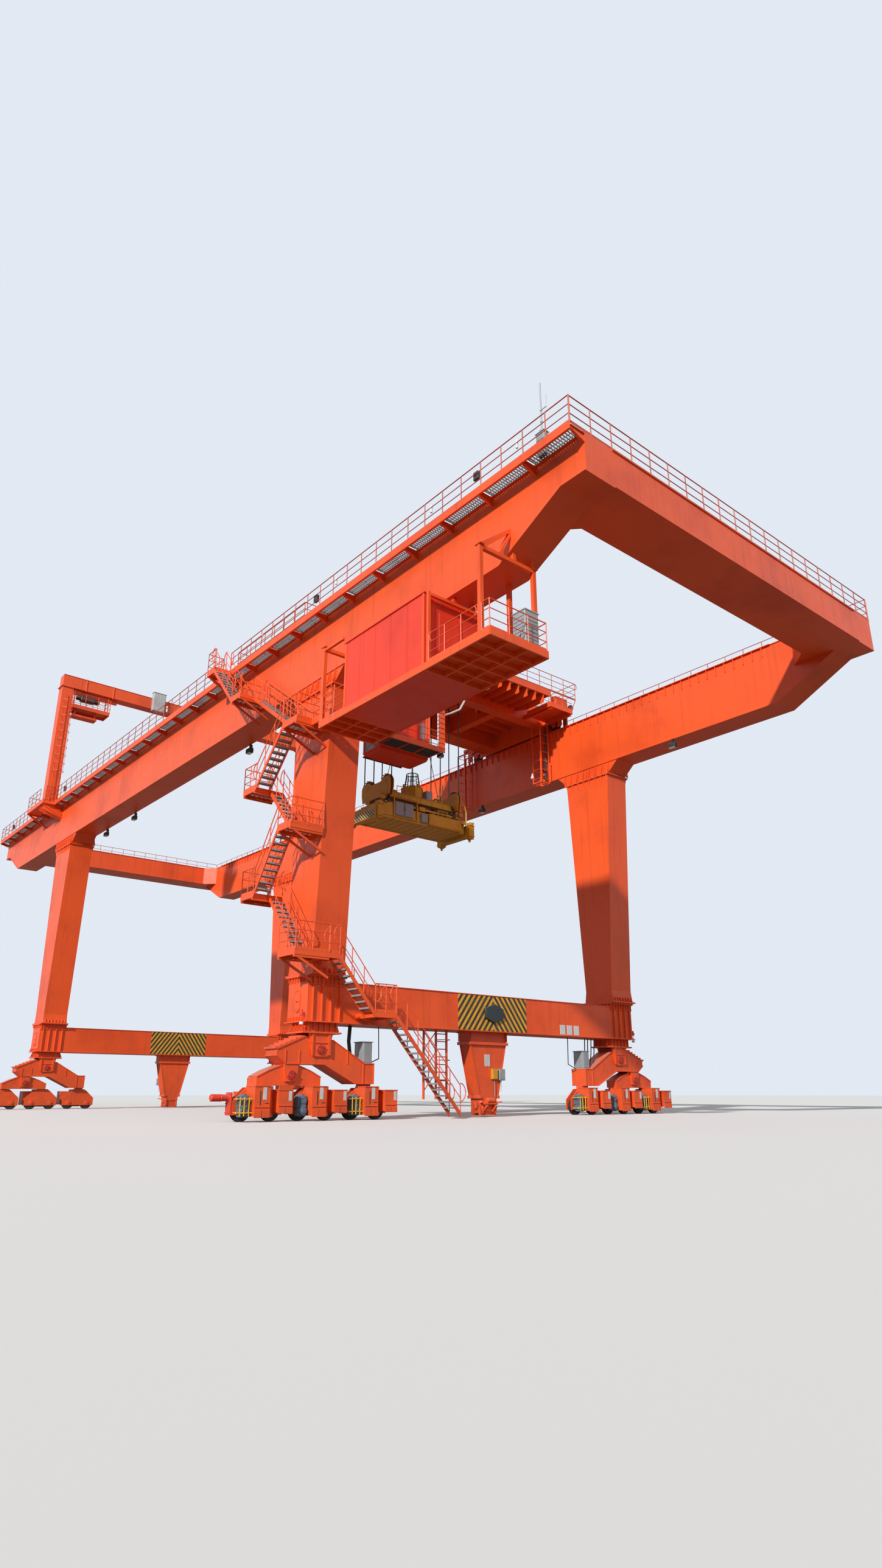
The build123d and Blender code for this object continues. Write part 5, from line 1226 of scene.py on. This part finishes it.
for y in (3.12, 3.16, 3.74):
    disc(7.46, y, 10.57, 0.022, 0.2, "Z", 12, 0.005)
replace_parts(close_piece("trolley"), "trolley_walkways")

open_piece("trolley_grating")
for y in row(100, -2.98, 0.06):
    slab((6.48, 7.538), about(y, 0.003), (10.778, 10.792))
for x in row(9, 6.5, 0.129):
    slab(about(x, 0.003), (-2.98, 2.98), (10.782, 10.79))
close_piece("trolley", "grey_paint")

# Pale plates under the walkway floor towards its right end: painted light, standing for the daylight that shows
# through the open grating there.
open_piece("painted_light_panels")
for y in row(4, BRACKET_START + 14.5 * BRACKET_PITCH, BRACKET_PITCH):
    slab((7.08, 7.5), about(y, 0.1), (10.7, 10.715), 0.004)
close_piece("trolley", "grey_paint", white_enamel)

open_piece("trolley_railings")
x = NOSE - 0.02
railing(x, (WALK[0], 4.03), FRAME_TOP, 0.47)
for y in (3.03, 3.5, 4.03):
    bar(x, (min(y, CORNER_Y - 0.02), y), (CORNER_Z, FRAME_TOP), 0.022)
for z in (0.2, 0.38):
    bar(x, (WALK[1], CORNER_Y), CORNER_Z + z, 0.018)
railing((CORNER_X, x), 4.03, FRAME_TOP, 0.45, toe=False)
railing((BEAM_FACE, x), WALK[0], FRAME_TOP)
railing(x0 + 0.012, (-4.1, 4.1), TROLLEY_FLOOR)
for side in BOTH:
    railing((x0, BEAM_FACE), side * 4.1, TROLLEY_FLOOR)
    railing(BEAM_FACE, (side * 4.1, side * 3.0), TROLLEY_FLOOR)
loop(x, 4.03, FRAME_TOP, (0, 1), 0.35, 0.515)
close_piece("trolley", finish=rail_finish)

# Lattice towers that hang from the cross beams inside the right girder: angle posts with a ring of round rungs
# every 0.26 m, a closed foot, a bell lamp and the cables that end there.
TOWER_Y = 3.64
TOWER_LOW = 8.535
HALF = 0.15

open_piece("ladder_towers")
for x, tie_x in ((6.49, 6.25), (3.3, 3.85)):
    for side in BOTH:
        for face in BOTH:
            post_x, post_y = x + side * HALF, TOWER_Y + face * HALF
            slab(about(post_x, 0.018), (post_y + face * 0.009, post_y + face * 0.018), (TOWER_LOW, FRAME_LOW))
            slab((post_x + side * 0.009, post_x + side * 0.018), about(post_y, 0.018), (TOWER_LOW, FRAME_LOW))
        tie = (min(x - 0.165, tie_x), max(x + 0.165, tie_x))
        slab(tie, about(TOWER_Y + side * HALF, 0.015), (FRAME_LOW - 0.03, FRAME_LOW))
    for z, face in product(row(7, TOWER_LOW + 0.14, 0.26), BOTH):
        bar(about(x, HALF), TOWER_Y + face * HALF, z, 0.016)
        bar(x + face * HALF, about(TOWER_Y, HALF), z, 0.016)
    for face in BOTH:
        slab(about(x, 0.168), about(TOWER_Y + face * HALF, 0.018), (TOWER_LOW, TOWER_LOW + 0.03), 0.002)
        slab(about(x + face * HALF, 0.018), about(TOWER_Y, 0.168), (TOWER_LOW, TOWER_LOW + 0.03), 0.002)
x = 6.49 + HALF
slab((x - 0.03, x + 0.045), (TOWER_Y + 0.15, TOWER_Y + 0.2), (TOWER_LOW + 0.05, TOWER_LOW + 0.62), 0.008)
for z in row(5, TOWER_LOW + 0.1, 0.11):
    slab((x - 0.035, x + 0.05), (TOWER_Y + 0.145, TOWER_Y + 0.205), (z, z + 0.025), 0.003)
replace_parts(close_piece("trolley"), "side_ladders")

open_piece("tower_fittings")
for y in row(3, TOWER_Y + 0.06, 0.035):
    hose([(6.6, y, FRAME_LOW), (6.6, y, 9.1), (6.58, y - 0.03, 8.95), (6.6, y, TOWER_LOW + 0.1)], 0.018)
for z in (8.68, 8.86):
    slab((6.53, 6.6), (TOWER_Y + 0.03, TOWER_Y + 0.12), (z, z + 0.09), 0.008)
close_piece("trolley", "dark_steel")

open_piece("bell_lamps")
y = TOWER_Y - 0.17
for x in (6.31, 3.12):
    disc(x, y, 8.82, 0.02, 0.06, "Z", 12, 0.004)
    bpy.ops.mesh.primitive_cone_add(
        vertices=20, radius1=0.055, radius2=0.022, depth=0.08, location=(x, y, 8.755), calc_uvs=False
    )
    disc(x, y, 8.71, 0.045, 0.02, "Z", 16, 0.006)
close_piece("trolley", "grey_paint", lamp_glass)

# Machinery house on the trolley: a red sheet-steel cabin with folded seams, a door and louvres, standing on a
# kerb, with vents on its roof.
MACHINERY_X = x0, x1 = 3.95, 6.15
MACHINERY_Y = y0, y1 = -1.8, 1.2
TOP = 12.085
SEAM_Z = (TROLLEY_FLOOR + 0.08, TOP - 0.05)

open_piece("machinery_skin")
for x, y in product(row(12, x0 + 0.1, 2.0 / 11), MACHINERY_Y):
    slab(about(x, 0.014), about(y, 0.008), SEAM_Z)
for y, x in product(row(16, y0 + 0.12, 2.76 / 15), MACHINERY_X):
    slab(about(x, 0.008), about(y, 0.014), SEAM_Z)
slab((x0 - 0.05, x1 + 0.05), (y0 - 0.05, y1 + 0.05), (TOP, TOP + 0.03), 0.006)
slab((x0 - 0.02, x1 + 0.02), (y0 - 0.02, y1 + 0.02), (TROLLEY_FLOOR, TROLLEY_FLOOR + 0.05), 0.004)
for y in (-0.9, 0.3):
    disc(5.05, y, TOP + 0.09, 0.16, 0.12, "Z", 24, 0.01)
    disc(5.05, y, TOP + 0.18, 0.2, 0.03, "Z", 24, 0.006)
close_piece("trolley", "red_paint")

open_piece("machinery_openings")
slab((x1, x1 + 0.02), (-0.5, -0.05), (TROLLEY_FLOOR + 0.05, TROLLEY_FLOOR + 1.02), 0.004)
slab((x1 + 0.02, x1 + 0.04), (-0.13, -0.1), (11.3, 11.4), 0.004)
for (x, out), y in product(((x0, -0.02), (x1, 0.02)), (-1.5, 0.45)):
    slab((x, x + out), (y, y + 0.5), (11.35, 11.8), 0.003)
    for z in row(8, 11.39, 0.052):
        bar(x + out * 1.2, (y + 0.03, y + 0.47), z, 0.012, 0.03)
close_piece("trolley", "grey_paint")

# Operator's cab: a red steel box with raked corners under its floor, framed windows on three sides and a plain
# back wall, hung under the near cross beam.
CAB_X = x0, x1 = 6.15, 6.85
CAB_Y = y0, y1 = -2.1, -0.7
z0, z1 = 8.05, 9.2
BELOW, WINDOW, ABOVE = (z0 + 0.05, 8.14), (8.14, 9.05), (9.05, z1 - 0.03)

open_piece("cab_shell")
slab(CAB_X, CAB_Y, (z0, z0 + 0.07), 0.02)
cut((x0 + 0.06, y1, z0), (-1, 0.5, -0.4))
slab((x0 - 0.02, x1 + 0.02), (y0 - 0.02, y1 + 0.02), (z1 - 0.06, z1), 0.015)
slab((x1 - 0.03, x1), CAB_Y, (z0 + 0.05, z1 - 0.03), 0.004)
for y in CAB_Y:
    for x in (x0 + 0.02, x1 - 0.05):
        bar(x, y - 0.02 * (y + 1.4), (z0 + 0.05, z1 - 0.03), 0.045, 0.045)
    for z in (BELOW, ABOVE):
        slab(CAB_X, about(y, 0.02), z, 0.004)
for z in (BELOW, ABOVE):
    slab((x0, x0 + 0.03), CAB_Y, z, 0.004)
for y in (-1.63, -1.17):
    bar(x0 + 0.015, y, (z0 + 0.06, z1 - 0.05), 0.025, 0.03)
for y in row(5, -1.98, 0.22):
    slab((x1, x1 + 0.005), (y, y + 0.01), (8.3, z1 - 0.06))
slab((x1, x1 + 0.015), (-1.0, -0.75), (8.24, 9.1), 0.004)
slab((x0 + 0.02, x0 + 0.05), (y0 + 0.2, y1 - 0.35), (z0 - 0.012, z0 + 0.01), 0.003)
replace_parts(close_piece("trolley", "red_paint"), "operator_cab")

cab_glass = plain("cab_glass", Base_Color=(0.42, 0.52, 0.56, 1), Roughness=0.08, Alpha=0.55, Coat_Weight=0.6)[0]
open_piece("cab_windows")
slab((x0 + 0.01, x0 + 0.02), inside(CAB_Y, 0.03), WINDOW, 0.002)
for y in (y0 + 0.004, y1 - 0.014):
    slab((x0 + 0.04, x1 - 0.06), (y, y + 0.01), WINDOW, 0.002)
slab((x1 + 0.002, x1 + 0.02), (-0.96, -0.79), (8.6, 9.02), 0.002)
close_piece("trolley", "grey_paint", cab_glass)

open_piece("cab_fittings")
for x, y, z, soft in (
    ((6.42, 6.68), (-1.62, -1.18), (8.12, 8.2), 0.02),
    ((6.4, 6.7), (-1.6, -1.2), (8.42, 8.52), 0.03),
    ((6.66, 6.74), (-1.58, -1.22), (8.5, 9.0), 0.03),
    ((6.48, 6.6), (-1.5, -1.3), (8.15, 8.45), 0.02),
):
    slab(x, y, z, soft)
for y in (-1.78, -1.02):
    slab((6.3, 6.66), about(y, 0.09), (8.15, 8.62), 0.02)
    bar(6.36, y, (8.6, 8.72), 0.02)
for y in (y0 - 0.025, y1 + 0.025):
    bar((6.3, 6.7), y, (8.17, 8.42), 0.008)
    bar((6.3, 6.7), y, (8.42, 8.17), 0.008)
slab((x0 - 0.03, x0 + 0.01), (y0, y1 - 0.25), (z0 - 0.02, z0 + 0.01), 0.004)
close_piece("trolley", "dark_steel")

# Access to the cab: hangers from the cross beam, a channel frame with dark grating beside the cab and round its
# left end, a ribbed end wall, and the pipes and cables that come down to the cab.
EDGE_X = 7.4
LOW = 8.14
GALLERY_Y = -2.8
HANGER_Z = 10.21

open_piece("cab_access")
for y in (y0, y1 - 0.06):
    slab((x0, EDGE_X), (y, y + 0.06), (HANGER_Z, FRAME_LOW), 0.003)
    for x, z in ((x0 + 0.03, z1), (x1 - 0.09, z1), (EDGE_X - 0.06, LOW)):
        slab((x, x + 0.06), (y, y + 0.06), (z, HANGER_Z), 0.003)
slab((EDGE_X - 0.014, EDGE_X), (GALLERY_Y, y1), (LOW, LOW + 0.12))
for z in (LOW, LOW + 0.11):
    slab((EDGE_X - 0.04, EDGE_X), (GALLERY_Y, y1), (z, z + 0.01))
slab((x1 + 0.01, x1 + 0.05), (GALLERY_Y, y1), (LOW, LOW + 0.06))
for y in (y1 - 0.014, -1.18, -1.65, y0 - 0.06, GALLERY_Y):
    slab((x1, EDGE_X), (y, y + 0.014), (LOW, LOW + 0.08))
for y in (y0 - 0.1, GALLERY_Y):
    bar((6.76, 7.64), y, 8.2, 0.045, 0.05)
    for x in (7.52, 6.79):
        bar(x, y, (8.2, 10.66), 0.03)
slab((7.62, 7.64), (y0 - 0.1, GALLERY_Y), (8.16, 8.24))
for z in row(9, LOW + 0.1, 0.13):
    slab((EDGE_X - 0.016, EDGE_X + 0.012), (-0.81, -0.6), (z, z + 0.015))
slab((EDGE_X - 0.012, EDGE_X - 0.002), (-0.81, -0.6), (LOW, 9.36), 0.002)
for y, thick in ((-1.02, 0.035), (-0.97, 0.02), (-0.93, 0.045)):
    hose([(7.2, y, LOW + 0.02), (7.2, y, 9.5), (7.05, y, 9.7), (7.05, y, HANGER_Z)], thick, 8)
for z in row(3, LOW + 0.18, 0.17):
    bar(EDGE_X - 0.03, (GALLERY_Y, y1 - 0.1), z, 0.018)
    bar((x1, EDGE_X), GALLERY_Y + 0.02, z, 0.018)
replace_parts(close_piece("trolley"), "cab_hanger")

open_piece("cab_gratings")
for y in ((GALLERY_Y + 0.02, y0 - 0.07), (y0 - 0.04, -1.66), (-1.63, -1.19), (-1.16, y1 - 0.02)):
    slab((x1 + 0.05, EDGE_X - 0.02), y, (LOW + 0.03, LOW + 0.036))
    for x in row(10, x1 + 0.07, 0.05):
        slab((x, x + 0.006), y, (LOW + 0.012, LOW + 0.04))
slab((EDGE_X + 0.01, 7.62), (GALLERY_Y + 0.03, y0 - 0.12), (8.2, 8.206))
close_piece("trolley", "grey_paint", paint("dark_grating_finish", (0.1, 0.1, 0.1), rough=0.7))

open_piece("cable_tray")
x = EDGE_X - 0.02
hose([(x, -0.61, 9.13), (x, -0.4, 9.24), (x, -0.11, 9.425), (7.2, 0.2, 9.8), (6.7, 0.4, FRAME_LOW)], 0.05, 8)
for z in row(12, LOW + 0.1, 0.1):
    slab(about(EDGE_X, 0.02), (-0.83, -0.805), (z, z + 0.07), 0.003)
slab((EDGE_X - 0.01, EDGE_X + 0.004), (-0.825, -0.81), (LOW + 0.05, 9.36))
close_piece("trolley", "grey_paint", white_enamel)

LAMP_SPOTS = ((7.26, -0.62, 8.1), (7.1, -2.55, 8.09), (6.95, -2.3, 8.16), (7.3, 0.91, 10.36))
open_piece("trolley_lamps")
for x, y, z in LAMP_SPOTS:
    bar(about(x, 0.08), y, z + 0.06, 0.02, 0.03)
    slab(about(x, 0.07), (y - 0.07, y + 0.05), (z - 0.035, z + 0.05), 0.01)
bar(7.3, 0.91, (10.4, 10.75), 0.02)
close_piece("trolley", "dark_steel")

open_piece("trolley_lamp_faces")
for x, y, z in LAMP_SPOTS:
    slab(about(x, 0.055), (y - 0.06, y + 0.04), (z - 0.045, z - 0.03), 0.004)
close_piece("trolley", "grey_paint", lamp_glass)

# Spreader: a worn ochre frame of plate with ribs under it, four lanes for the telescopic arms, a guarded bay
# with grey switch cabinets on its near side and a long box with a hoop beside them.
HOIST_X = 5.35
FRAME_X = x0, x1 = 4.85, 5.85
FRAME_Y = y0, y1 = -1.33, 1.33
FRAME_Z = z0, z1 = 6.81, 7.13
UPPER_Z = 7.25
BAY_Y = (-0.955, -0.24)

open_piece("spreader_box")
for x, out in ((x0, 1), (x1 - 0.016, -1)):
    slab((x, x + 0.016), FRAME_Y, FRAME_Z, 0.003)
    for z in (z0, z1 - 0.012):
        slab((x, x + 0.016 + out * 0.05), FRAME_Y, (z, z + 0.012))
slab(FRAME_X, FRAME_Y, (z1 - 0.012, z1))
for y in row(13, y0 + 0.02, (y1 - y0 - 0.04) / 12):
    slab(inside(FRAME_X, 0.016), about(y, 0.02), (z0, z0 + 0.012))
slab(inside(FRAME_X, 0.06), inside(FRAME_Y, 0.05), (z0 + 0.012, z0 + 0.016))
for lane in (-0.42, -0.24, 0, 0.24, 0.42):
    slab(about(HOIST_X + lane, 0.006), FRAME_Y, (z0 + 0.016, z1 - 0.012))
for x in (4.89, 5.77):
    slab((x, x + 0.05), (y0 + 0.06, y1 - 0.1), (UPPER_Z - 0.05, UPPER_Z), 0.004)
    for y in (-1.25, -0.98, -0.2, 0.32, 0.85, 1.18):
        slab((x, x + 0.05), (y, y + 0.05), (z1, UPPER_Z - 0.05), 0.004)
for y in (-1.25, -0.2, 0.32, 1.18):
    slab((4.89, 5.82), (y, y + 0.05), (UPPER_Z - 0.05, UPPER_Z), 0.003)
for y in BAY_Y:
    slab((x1, x1 + 0.035), about(y, 0.014), (6.86, 7.39), 0.003)
for z in (6.86, 7.375):
    slab((x1, x1 + 0.035), BAY_Y, (z, z + 0.016), 0.003)
slab((x1, x1 + 0.02), (-1.32, -0.99), (6.86, 7.2), 0.01)
cut((x1, -1.32, 7.1), (0, -0.5, 1))
slab((x1, x1 + 0.075), (0.12, 1.2), (6.82, 7.14), 0.03)
x = x1 + 0.06
for y in (0.42, 0.72):
    bar(x, y, (7.13, 7.27), 0.022)
bar(x, (0.41, 0.73), 7.27, 0.024)
bar(x, 0.56, (7.13, 7.27), 0.014)
for y in (0.62, 0.9):
    slab((x1 + 0.075, x1 + 0.081), (y, y + 0.2), (6.86, 6.96), 0.002)
slab((x1, x1 + 0.02), (-0.16, 0.03), (7.16, 7.27), 0.003)
for y, inner in ((y0, y0 + 0.05), (y1, y1 - 0.05)):
    for x in (x0 + 0.03, x1 - 0.07):
        slab((x, x + 0.04), (y, inner), (z0, z1 + 0.06), 0.004)
    slab(FRAME_X, (y, inner), (z1, z1 + 0.05), 0.004)
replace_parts(close_piece("spreader", "yellow_paint"), "spreader_frame")

open_piece("spreader_cabinets")
for low, high in ((-0.925, -0.642), (-0.63, -0.345)):
    slab((x1 - 0.01, x1 + 0.025), (low, high), (6.91, 7.27), 0.008)
    slab((x1 + 0.025, x1 + 0.032), inside((low, high), 0.02), (6.93, 7.25), 0.003)
slab((x1 - 0.1, x1 - 0.01), (-0.925, -0.345), (6.91, 7.27), 0.004)
for y in (-0.665, -0.6):
    slab((x1 + 0.03, x1 + 0.042), about(y, 0.008), (7.06, 7.13), 0.002)
slab((x1, x1 + 0.05), (-0.115, 0.09), (6.87, 7.09), 0.008)
slab((x1 + 0.05, x1 + 0.056), (-0.1, 0.075), (6.89, 7.07), 0.002)
slab((5.5, 5.7), (0.2, 0.4), (7.56, 7.8), 0.01)
slab((5.51, 5.69), (0.21, 0.39), (7.8, 7.815), 0.003)
cabinet_grey = paint("cabinet_grey_finish", (0.3, 0.3, 0.34), rough=0.45, dust=0.3, chips=0.1)
close_piece("spreader", "grey_paint", cabinet_grey)

# Ends of the spreader: box end beams on the telescopic arms with corner guides, twistlock housings and slanted
# black and pale stripes on their outer faces.
end_stripes = stripes(
    "end_stripes", 14.0, 0.7, lambda place: place.split(0), 0.9, 0.09, 0.03, 0.4,
    ((0.03, 0.026, 0.02, 1), (0.09, 0.07, 0.04, 1)), ((0.62, 0.5, 0.28, 1), (0.5, 0.36, 0.14, 1)),
)

for side, body in zip(BOTH, ("arm_left", "arm_right")):
    face, beam_y = side * 1.543, side * 1.463
    open_piece(body + "_stripes")
    slab((4.74, 5.96), (face, face + side * 0.008), (6.78, 6.95), 0.002)
    close_piece(body, "yellow_paint", end_stripes)

    open_piece(body + "_fittings")
    for x in (4.705, 5.995):
        for z in (6.75, 7.04):
            slab(about(x, 0.03), (side * 1.37, side * 1.556), (z, z + 0.012), 0.002)
        slab(about(x, 0.012), (side * 1.38, side * 1.55), (6.762, 7.04), 0.003)
    slab((4.72, 5.98), (side * 1.383, face), (7.03, 7.042), 0.002)
    for x in about(HOIST_X, 0.565):
        slab(about(x, 0.085), about(beam_y, 0.085), (6.7, 6.77), 0.012)
        disc(x, beam_y, 6.69, 0.05, 0.04, "Z", 16, 0.006)
        disc(x, beam_y, 7.06, 0.045, 0.05, "Z", 16, 0.006)
        bar((x, HOIST_X), beam_y, 7.08, 0.022)
    for x in about(HOIST_X, 0.6):
        slab(about(x, 0.06), (side * 1.4, side * 1.52), (7.04, 7.13), 0.01)
        disc(x, side * 1.5, 7.1, 0.035, 0.15, "X", 16, 0.004)
        hose([(x, side * 1.5, 7.1), (x, side * 1.56, 6.95), (x, side * 1.56, 6.7)], 0.05, 4)
    close_piece(body, "yellow_paint")

open_piece("end_guides")
hose([(5.93, 1.2, 7.62), (5.93, 1.3, 7.55), (5.93, 1.34, 7.38), (5.93, 1.33, 7.0)], 0.05, 4)
slab((5.85, 5.95), (1.15, 1.3), (7.05, 7.13), 0.01)
for y in (-1.28, 1.22):
    slab((5.76, 5.88), (y - 0.05, y + 0.06), (UPPER_Z, UPPER_Z + 0.12), 0.02)
    disc(5.82, y, 7.42, 0.04, 0.1, "Y", 16, 0.006)
close_piece("spreader", "yellow_paint")

# Head block: a box beam with a humped plate housing across each end, round rope sheaves between the cheeks,
# bolted caps over their pins, and small boxes, hoses and a rail on the beam.
SHEAVE_Y, SHEAVE_Z = 1.093, 7.77
SHEAVE_X = (HOIST_X - 0.38, HOIST_X + 0.38)

open_piece("sheave_discs")
for face in BOTH:
    disc(0, face * 0.018, 0, 0.19, 0.012, "Y", 36, 0.003)
disc(0, 0, 0, 0.172, 0.03, "Y", 36)
disc(0, 0, 0, 0.05, 0.09, "Y", 20, 0.004)
sheave_places = [(x, side * SHEAVE_Y, SHEAVE_Z, 0) for x in SHEAVE_X for side in BOTH]
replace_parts(close_piece("spreader", "dark_steel", places=sheave_places), "rope_sheaves")

open_piece("head_trim")
for z, (x, out) in product((7.4, 7.548), ((4.97, -0.015), (5.73, 0.015))):
    slab((x, x + out), (-1.15, 1.15), (z, z + 0.012))
for y, (x, out) in product(row(7, -1.05, 0.35), ((4.97, -0.01), (5.73, 0.01))):
    slab((x, x + out), about(y, 0.005), (7.412, 7.548))
for side in BOTH:
    for y, x in product(about(side * SHEAVE_Y, 0.052), SHEAVE_X):
        disc(x, y, SHEAVE_Z, 0.085, 0.014, "Y", 24, 0.003)
        disc(x, y, SHEAVE_Z, 0.045, 0.03, "Y", 16, 0.003)
        for dx, dz in ring(6, 0.066):
            bolt(x + dx, y, SHEAVE_Z + dz, "Y", 0.009, 0.024)
    for (x, k), a in product(zip(SHEAVE_X, BOTH), range(40, 165, 25)):
        rim_x, rim_z = x + k * 0.2 * cos(radians(a)), SHEAVE_Z + 0.2 * sin(radians(a)) - 0.02
        disc(rim_x, side * SHEAVE_Y, rim_z, 0.014, 0.13, "Y", 10, 0.002)
    slab((5.2, 5.5), (side * 0.86, side * 1.0), (7.56, 7.66), 0.01)
    disc(5.35, side * 0.93, 7.7, 0.05, 0.1, "Z", 16, 0.008)
for y in (-0.75, -0.45, 0.55, 0.85):
    bar(5.7, y, (7.56, 7.74), 0.018)
for y in ((-0.75, -0.45), (0.55, 0.85)):
    bar(5.7, y, 7.74, 0.018)
bar(5.71, 0.72, (7.56, 8.06), 0.022)
bar(5.71, 0.62, (7.56, 7.98), 0.014)
slab((5.45, 5.66), (-0.95, -0.72), (7.56, 7.64), 0.01)
slab((4.98, 5.2), (0.4, 0.75), (7.56, 7.72), 0.012)
slab((4.98, 5.16), (-0.8, -0.4), (7.56, 7.7), 0.012)
close_piece("spreader", "yellow_paint")

open_piece("head_hoses_and_shade_plates")
# Dark plates in the openings of the spreader's upper frame, beside the cabinet bay and behind the far posts: painted
# shade for the hollow inside the frame.
for y in ((-1.22, -0.98), (-0.22, 0.3), (0.42, 1.16)):
    slab((5.66, 5.75), y, (7.132, 7.33), 0.01)
for y in ((-1.1, -0.4), (-0.2, 0.9)):
    slab((4.95, 5.1), y, (7.132, 7.32), 0.01)
for x in row(4, 5.62, 0.03):
    hose([(x, -0.95, 7.58), (x + 0.1, -1.05, 7.4), (x + 0.12, -1.1, 7.2), (x + 0.06, -1.16, 7.1)], 0.022)
    hose([(x, 0.98, 7.58), (x + 0.1, 1.04, 7.42), (x + 0.08, 1.1, 7.2)], 0.02)
for y in (-1.08, 1.02):
    slab((5.74, 5.84), about(y, 0.05), (7.16, 7.3), 0.012)
slab((5.32, 5.38), (-0.86, -0.78), (7.66, 7.9), 0.012)
disc(5.35, -0.82, 7.86, 0.07, 0.05, "X", 20, 0.006)
close_piece("spreader", "dark_steel")

# Cable basket: an eight-sided ochre tub of folded plate on the head block, under a round barred funnel that
# guides the spreader's cable.
TUB_LOW, TUB_TOP = 7.56, 7.9
TUB_RADIUS = 0.287
FUNNEL_TOP = 8.3
# Height, radius and thickness of each hoop.
HOOPS = (
    (FUNNEL_TOP - 0.008, 0.15, 0.024),
    (FUNNEL_TOP - 0.1, 0.148, 0.014),
    (8.06, 0.178, 0.014),
    (TUB_TOP + 0.01, 0.205, 0.02),
)


def around(places):
    """A ring of places about the hoist's axis."""
    return [(HOIST_X + dx, dy) for dx, dy in places]


open_piece("basket_tub")
bpy.ops.mesh.primitive_cylinder_add(
    vertices=8, radius=TUB_RADIUS, depth=TUB_TOP - TUB_LOW, end_fill_type="NOTHING", calc_uvs=False,
    location=(HOIST_X, 0, (TUB_LOW + TUB_TOP) / 2), rotation=(0, 0, pi / 8),
)
bpy.ops.mesh.extrude_region_move()
bpy.ops.transform.resize(value=(0.94, 0.94, 1), center_override=(HOIST_X, 0, TUB_TOP))
bpy.ops.mesh.select_all(action="DESELECT")
disc(HOIST_X, 0, TUB_LOW + 0.01, 0.27, 0.02, "Z", 8)
corners = around(ring(8, TUB_RADIUS, 0.5))
for i, (x, y) in enumerate(corners):
    next_x, next_y = corners[(i + 1) % 8]
    bar(x, y, (TUB_LOW, TUB_TOP), 0.02)
    for z in (TUB_LOW + 0.012, TUB_TOP - 0.01):
        bar((x, next_x), (y, next_y), z, 0.02)
    if i % 2:
        bar((x + next_x) / 2, (y + next_y) / 2, (TUB_TOP, TUB_TOP + 0.07), 0.05, 0.05)
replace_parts(close_piece("spreader", "yellow_paint"), "cable_basket")

open_piece("basket_funnel")
for z, radius, thick in HOOPS:
    hoop = [(x, y, z) for x, y in around(ring(24, radius))]
    hose([*hoop, hoop[0]], thick)
for (low_x, low_y), (x, y) in zip(around(ring(14, 0.205)), around(ring(14, 0.15))):
    bar((low_x, x), (low_y, y), (TUB_TOP, FUNNEL_TOP), 0.014)
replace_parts(close_piece("spreader", "dark_steel"), "cable_basket")

# Ropes: greased wire ropes from the trolley round the sheaves, the slanted ropes that stop the spreader from
# swinging, and its cable.
ROPE_TOP = 10.805


def rope(name, low, high, width):
    """A rope from a place on the spreader up to a place on the trolley."""
    piece = open_piece(name)
    strut(Vector(low), Vector(high), width, sides=10)
    bpy.ops.object.mode_set(mode="OBJECT")
    piece.data.materials.append(SLOT_FINISH["rope_steel"])
    bpy.ops.object.shade_smooth_by_angle(angle=radians(50))
    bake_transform(piece)
    return piece


number = 0
for side in BOTH:
    for sheave, face in product((-0.38, 0.38), (-0.2, 0.2)):
        x = HOIST_X + sheave + face
        line = rope(f"hoist_rope_{number}", (x, side * SHEAVE_Y, SHEAVE_Z), (x, side * SHEAVE_Y, ROPE_TOP), 0.028)
        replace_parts(line, "hoist_ropes")
        number += 1
    rope(f"sway_rope_{number}", (HOIST_X, side * 0.86, 7.86), (HOIST_X, side * 0.1, ROPE_TOP), 0.016)
rope("spreader_cable", (HOIST_X, 0, TUB_LOW + 0.1), (HOIST_X, 0, ROPE_TOP), 0.04)

# Antenna: a steel box that stands on the walkway near the girder's end, with a round whip mast held by two
# clamps on its lid.
MAST_X, MAST_Y = 14.67, -4.6425

open_piece("antenna")
slab(about(MAST_X, 0.09), about(MAST_Y, 0.055), (DECK, 10.48), 0.008)
slab(about(MAST_X, 0.1), about(MAST_Y, 0.065), (10.475, 10.49), 0.003)
slab(about(MAST_X, 0.07), (MAST_Y - 0.06, MAST_Y - 0.055), (DECK + 0.05, 10.44), 0.002)
disc(MAST_X, MAST_Y, 10.52, 0.035, 0.08, "Z", 16, 0.006)
bar(MAST_X, MAST_Y, (10.5, 11.5), 0.024, sides=12)
for z in (10.72, 10.95):
    disc(MAST_X, MAST_Y, z, 0.02, 0.03, "Z", 12, 0.003)
bar((MAST_X, MAST_X + 0.12), MAST_Y, 10.95, 0.014)
bar(MAST_X + 0.12, MAST_Y, (10.95, 11.2), 0.012)
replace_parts(close_piece(slot="grey_paint"), "antenna_mast")
